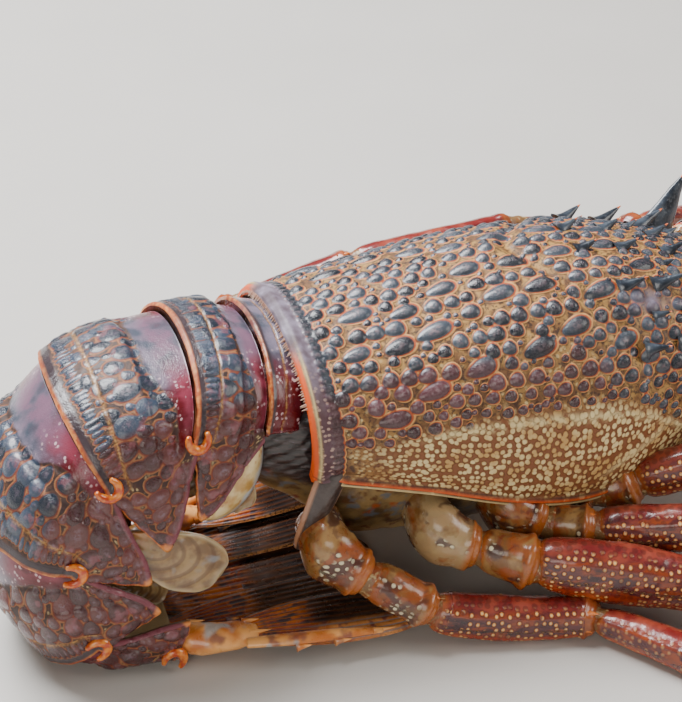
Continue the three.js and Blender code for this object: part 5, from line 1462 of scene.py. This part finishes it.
PEDUNCLE = [[-7, 13.5, 46, 7.5, 7.5], [-4, 14, 46, 9, 9.2], [5, 16.5, 46.5, 9.2, 9.2], [7.5, 17, 46.8, 7, 7.2],
            [10, 17.8, 47, 8.6, 8.2], [23, 21.5, 48, 8, 7.6], [26.5, 22.3, 48.3, 5.6, 5.4],
            [29, 23, 48.5, 6.6, 6.2], [43, 26.5, 49.5, 5.4, 5], [48, 27.8, 49.8, 3.8, 3.6]]
THORNS = [[2, 16, 54, 0.5, -0.1, 1, 9, 2.2], [3, 24, 50, 0.7, 0.6, 0.5, 6, 1.6],
          [15, 17, 54, 0.8, -0.2, 0.6, 6, 1.6], [22, 20, 54.5, 0.9, -0.1, 0.5, 7, 1.7],
          [15, 26, 51, 0.8, 0.6, 0.3, 6, 1.6], [22, 28.5, 49, 0.9, 0.5, 0, 7, 1.7],
          [18, 13.5, 49, 0.8, -0.6, 0.1, 5, 1.5], [34, 30, 49, 0.9, 0.5, 0.1, 7, 1.5],
          [42, 31, 50, 1, 0.35, 0.1, 8, 1.5], [34, 18.6, 49, 0.9, -0.5, 0.1, 6, 1.5],
          [41, 21, 50, 1, -0.3, 0.1, 7, 1.5], [38, 25.5, 54, 0.9, 0, 0.5, 5, 1.4]]


def forward(rows, side):
    return [[FACE_X + ahead, side * y, *rest] for ahead, y, *rest in rows]


def feeler_base(name, side):
    """Three spined joints and the soft necks between them"""
    rows = forward(PEDUNCLE, side)
    shell, necks = Piece(f"feeler_base_{name}"), Piece(f"feeler_necks_{name}")
    draw = random.Random(33)
    for stations, before, after in ((rows[:3], None, rows[3]), (rows[4:6], rows[3], rows[6]),
                                    (rows[7:9], rows[6], rows[9])):
        skin = leg_joint(stations, before, after, 0.9, columns=110)
        s, length = skin.distance[:, None], skin.length
        ends = np.maximum(ease(s, 2.6, 1.2) if before else 0, ease(length - s, 2.4, 1.2))
        skin.lift += waves(skin.points, 8, draw.randrange(99)) * 0.3
        skin.scatter(34, (1.25, 0.85, 0.55), (0.8, 1.15), tries=900,
                     keep=np.broadcast_to(1 - ends, skin.lift.shape), gap=1.2, stretch=1.3, steep=0.45)
        skin.mark("flank", 1 - skin.marks["around"])
        skin.mark("cream", ease(skin.marks["around"], 0.25, 0.1) * 0.7)
        skin.mark("orange", bell(length - s, 1.3, 0.4) * 0.8)
        shell.add(skin, caps=True)
    for ahead, y, z, dx, dy, dz, length, radius in THORNS:
        thorn(shell, np.array([FACE_X + ahead, side * y, z - radius * 0.6]), (dx, side * dy, dz), length, radius,
              columns=20, tip=0.62, base=0.55, reach=0.5, tone=0.8)
    for at in (3, 6):
        near, far = ([a + (b - a) * 0.6 for a, b in zip(rows[at], rows[end])] for end in (at - 1, at + 1))
        skin = tube([[*near[:3], *rows[at][3:]], rows[at], [*far[:3], *rows[at][3:]]], 90)
        skin.lift += 0.18 * np.sin(skin.distance / 0.45)[:, None]
        necks.add(skin, caps=True)
    last = [[*rows[8][:3], 3.9, 3.7], [*rows[9][:3], 3.75, 3.5], [*whip_place(side, 6.0), 3.0, 3.0]]
    necks.add(tube(last, 60), caps=True)
    return shell, necks


def base_finish():
    # The last colour of low is the painted highlight on the scale crowns
    return shell_finish("feeler_base_finish", ("1e2632", "465262"), ("2e1c22", "4c3830", "7a6c60"),
                        ("a4521e", "c98244", "c8561a"), ("3e3026", "6a5636", "241610", "7c5c2c"), wet=0.3)


WHIP_ROOT, WHIP_LONG, WHIP_BASE = (48.5, 28.2, 50), 250, 3


def whip_place(side, distance):
    """Point on the middle line of a whip, the given distance from its root"""
    ahead, aside, up = WHIP_ROOT
    share = distance / WHIP_LONG
    return np.stack([FACE_X + ahead + distance * np.cos(0.26 + 0.2 * share),
                     side * (aside + distance * np.sin(0.187 + 0.396 * share) * 0.95),
                     up + 34 * share - 22 * share * share], -1)


def whip(name, side):
    distance = np.linspace(1.0, WHIP_LONG - 0.5, 1150)
    radius = WHIP_BASE + (0.42 - WHIP_BASE) * (distance / WHIP_LONG) ** 0.8
    centre = whip_place(side, distance)
    across, up = crossing(unit(np.gradient(centre, axis=0)), UP)
    pitch = 1.5 - 0.7 * distance / WHIP_LONG
    phase = 2 * PI * np.cumsum(np.gradient(distance) / pitch)
    skin = ring_skin(centre, across, up, radius, radius, 16)
    skin.lift -= (np.maximum(np.cos(phase), 0.3) - 0.3)[:, None] * (0.05 + 0.04 * radius[:, None])
    skin.mark("ring", ease(np.cos(phase), 0.3, 0.8)[:, None])
    skin.mark("around", (np.sin(skin.turn) + 1) / 2)
    return Piece(f"feeler_whip_{name}").add(skin, caps=True)


def whip_finish():
    f = Finish("feeler_whip_finish")
    ring, around, cloud = f.mark("ring"), f.mark("around"), f.noise(9, 3)
    top = f.mix("34181f", "583440", cloud.ease(0.4, 0.6))
    low = f.mix("86330f", "b0602a", cloud.ease(0.4, 0.6))
    f.set(Base_Color=f.layers(low, (top, (around + (cloud - 0.5) * 0.3).ease(0.3, 0.55)), ("c09468", ring * 0.5),
                              ("2c1a1e", f.noise(14, 1).ease(0.6, 0.66) * 0.5)),
          Roughness=0.32, Coat_Weight=0.3)
    return f.bump(ring + f.noise(0.6, 2) * 0.4, 0.08, 0.5)


ANTENNULE = [[-3, 3, 53, 2, 2], [12, 5, 57, 1.7, 1.7], [13, 5.1, 57.2, 1.2, 1.2], [15, 5.3, 57.6, 1.6, 1.6],
             [27, 7, 60, 1.4, 1.4], [28.5, 7.2, 60.4, 1, 1], [30, 7.4, 60.8, 1.3, 1.3], [40, 9, 63, 1.1, 1.1]]
MOUTH_LEG = [[-30, 7.5, 17, 3, 3.6], [-22, 7.5, 18, 3.2, 4], [-10, 7, 22, 3, 3.8], [-7, 6.8, 24, 2.4, 2.8],
             [-3, 6.5, 27, 2.8, 3.2], [1, 6, 33, 2.4, 2.6], [2, 5.4, 36, 1.8, 1.8], [2.5, 5, 41, 1, 1]]
MOUTH_BRISTLES = 90


def jointed(piece, rows, groups, columns, upward=(0, 0, 1)):
    """Slim limb of several shell lengths with their collars; groups are [first, last, neck before, neck after]"""
    for first, last, *necks in groups:
        before, after = (rows[at] if at is not None else None for at in necks)
        skin = leg_joint(rows[first:last + 1], before, after, 0.6, columns, upward)
        s = skin.distance[:, None]
        skin.mark("ends", np.maximum(ease(s, 1.4, 0.5) if before else 0,
                                     ease(skin.length - s, 1.5, 0.6) if after else 0))
        piece.add(skin, caps=True)


def antennule(name, side):
    piece = Piece(f"antennule_shell_{name}")
    rows = forward(ANTENNULE, side)
    jointed(piece, rows, ((0, 1, None, 2), (3, 4, 2, 5), (6, 7, 5, None)), 32)
    for dy, dz in ((3.5, 3), (-1, -2)):
        lash = forward([[38, 8.7, 62.6, 0.72, 0.72], [46, 10 + dy * 0.4, 64.5 + dz * 0.4, 0.62, 0.62],
                        [60, 12.5 + dy, 67 + dz, 0.3, 0.3]], side)
        skin = tube(lash, 14, step=0.16)
        skin.lift -= 0.07 * (np.cos(skin.distance * 2 * PI / 0.8) > 0.3)[:, None]
        skin.mark("band", (np.sin(skin.distance * 0.9) * 0.5 + 0.5)[:, None])
        piece.add(skin, caps=True)
    return piece


def mouth_leg(name, side):
    piece = Piece(f"mouth_leg_shell_{name}")
    rows = forward(MOUTH_LEG, side)
    jointed(piece, rows, ((0, 2, None, 3), (4, 5, 3, 6), (6, 7, None, None)), 48, upward=(1, 0, 0.2))
    draw = random.Random(61)
    for order in range(MOUTH_BRISTLES):
        share = (order + draw.random()) / MOUTH_BRISTLES
        at = int(share * 5)
        near, far = (np.array(rows[station][:3]) for station in (at + 1, min(at + 2, 7)))
        place = near * (1 - (share * 5 - at)) + far * (share * 5 - at)
        thorn(piece, place + (0.4, -side * 1.6, -1.2), (0.25, -side * 0.9, draw.uniform(-0.3, 0.5)), 2.6, 0.18,
              columns=5, tip=0.3)
    return piece


def slim_finish():
    f = Finish("slim_limb_finish")
    ends, band, cloud, blot = f.mark("ends"), f.mark("band"), f.noise(5, 3), f.noise(2.2, 3)
    f.set(Base_Color=f.layers(f.mix("8c3814", "b46c30", cloud.ease(0.38, 0.6)), ("3c1a26", blot.ease(0.5, 0.62)),
                              ("a8803c", ends * 0.8), ("3c2430", band * 0.7), ("e8c48a", f.mark("tip") * 0.6)),
          Roughness=0.3, Coat_Weight=0.4)
    return f.bump(f.noise(0.8, 3), 0.12, 0.5)


def jaws():
    """Jaws and lip plates between the mouth legs"""
    piece = Piece("jaws")
    for _, side in SIDES:
        piece.add(tube([[FACE_X - 4, side * 4.8, 33.5, 2.6, 2.8], [FACE_X + 0.4, side * 3.2, 36.5, 2.9, 3.0],
                        [FACE_X + 1.6, side * 1.2, 39, 1.6, 1.8]], 40), caps=True)
        for tooth in range(5):
            thorn(piece, np.array([FACE_X + 1.6, side * (0.6 + tooth * 0.9), 37.2 - tooth * 0.5]),
                  (0.8, -side * 0.3, -0.7), 1.6, 0.5, columns=10, tip=0.4)
    return piece


def jaw_finish():
    f = Finish("jaw_finish")
    f.set(Base_Color=f.layers(f.mix("e2d2a8", "cdae78", f.noise(2.5, 3)), ("5b2f1c", f.mark("tip")),
                              ("c46a35", f.noise(3, 2).ease(0.6, 0.7) * 0.7)), Roughness=0.28, Coat_Weight=0.4)
    return f.bump(f.noise(1.0, 3), 0.15, 0.6)


# Assembly

def dress():
    """Makes every piece with its finish and names the solids that it stands for"""
    carapace().finish(carapace_finish(), "shell", "carapace")
    rim_setae().finish(setae_finish(), "shell")
    plates = tergite_finish()
    for segment in range(6):
        tergite(segment).finish(plates, "shell", f"abdomen_{segment + 1}")
    thorax().finish(thorax_finish(), "flesh", "thorax")
    front_membrane().finish(membrane_finish(), "flesh")
    flap_cuffs().finish(cuff_finish(), "flesh")
    dark_plate = corner_finish()
    corner_plates().finish(dark_plate, "shell")
    hinge_hooks().finish(hook_finish(), "shell")

    leg_shell, neck = leg_finish(), neck_finish()
    for name in LEGS:
        for part, piece in leg(name).items():
            piece.finish(leg_shell, "leg", f"leg_{name}_{part}")
    leg_necks().finish(neck, "leg")

    face().finish(face_finish(), "shell", "head")
    brow_skin().finish(dark_plate, "flesh")
    stalks, balls = eyes()
    stalks.finish(stalk_finish(), "eye")
    eyeball = eye_finish()
    horn_slate = horn_finish()
    horns().finish(horn_slate, "shell")
    shell_spines().finish(horn_slate, "shell")
    orbit_rims().finish(hook_finish(), "shell")
    jaws().finish(jaw_finish(), "leg")
    base_shell, whip_skin, slim = base_finish(), whip_finish(), slim_finish()
    for name, side in SIDES:
        balls[name].finish(eyeball, "eye", f"eye_{name}")
        shell, necks = feeler_base(name, side)
        shell.finish(base_shell, "shell", f"antenna_base_{name}")
        necks.finish(neck, "shell")
        whip(name, side).finish(whip_skin, "feeler", f"antenna_whip_{name}", f"antenna_tip_{name}")
        antennule(name, side).finish(slim, "feeler", f"antennule_{name}")
        mouth_leg(name, side).finish(slim, "leg", f"mouth_leg_{name}")

    fan_skin, leaf_skin = fan_finish(), leaf_finish()
    for name, piece in fan().items():
        piece.finish(fan_skin, "shell" if "inner" not in name else "membrane", name)
    for name, side in SIDES:
        for order, leaf in enumerate(LEAVES):
            blade = Piece(f"swim_leaf_blade_{order + 1}_{name}").add(swim_leaf(*leaf, side), caps=True)
            blade.finish(leaf_skin, "membrane", f"swim_leaf_{order + 1}_{name}")


# Studio

# Soft boxes: place from the middle of the animal in metres, power in watts, tint
LAMPS = (("overhead_softbox", (-0.25, 0.4, 0.75), 25, (0.97, 0.98, 1.0)),
         ("side_softbox", (-0.5, -0.75, 0.4), 3.2, (1.0, 0.94, 0.85)),
         ("front_softbox", (0.75, -0.35, 0.5), 4.5, (1.0, 0.96, 0.9)))
LAMP_SIZE, FLOOR_HALF, SKY_TINT, SKY_STRENGTH = 0.5, 9, (0.94, 0.96, 1.0, 1), 0.22


def studio():
    floor_mesh = bpy.data.meshes.new("floor")
    corners = [(FLOOR_HALF * x, FLOOR_HALF * y, 0) for x, y in ((-1, -1), (1, -1), (1, 1), (-1, 1))]
    floor_mesh.from_pydata(corners, [], [(0, 1, 2, 3)])
    floor = bpy.data.objects.new("floor", floor_mesh)
    bpy.context.scene.collection.objects.link(floor)
    pale = Finish("studio_floor")
    pale.set(Base_Color=pale.mix("bab6b0", "c4c0ba", pale.noise(60, 2)), Roughness=0.6)
    floor_mesh.materials.append(pale.material)
    world = bpy.data.worlds.new("studio")
    bpy.context.scene.world = world
    world.use_nodes = True
    sky = world.node_tree.nodes["Background"].inputs
    sky[0].default_value, sky[1].default_value = SKY_TINT, SKY_STRENGTH
    centre = Vector(((solid_box[0][0] + solid_box[1][0]) / 2 - 0.12, 0, 0.04))
    for name, at, power, tint in LAMPS:
        data = bpy.data.lights.new(name, "AREA")
        data.energy, data.size, data.color = power, LAMP_SIZE, tint
        lamp = bpy.data.objects.new(name, data)
        aim = Vector(at).to_track_quat("Z", "Y").to_matrix().to_4x4()
        lamp.matrix_world = Matrix.Translation(centre + Vector(at)) @ aim
        bpy.context.scene.collection.objects.link(lamp)


place_camera()
dress()
studio()
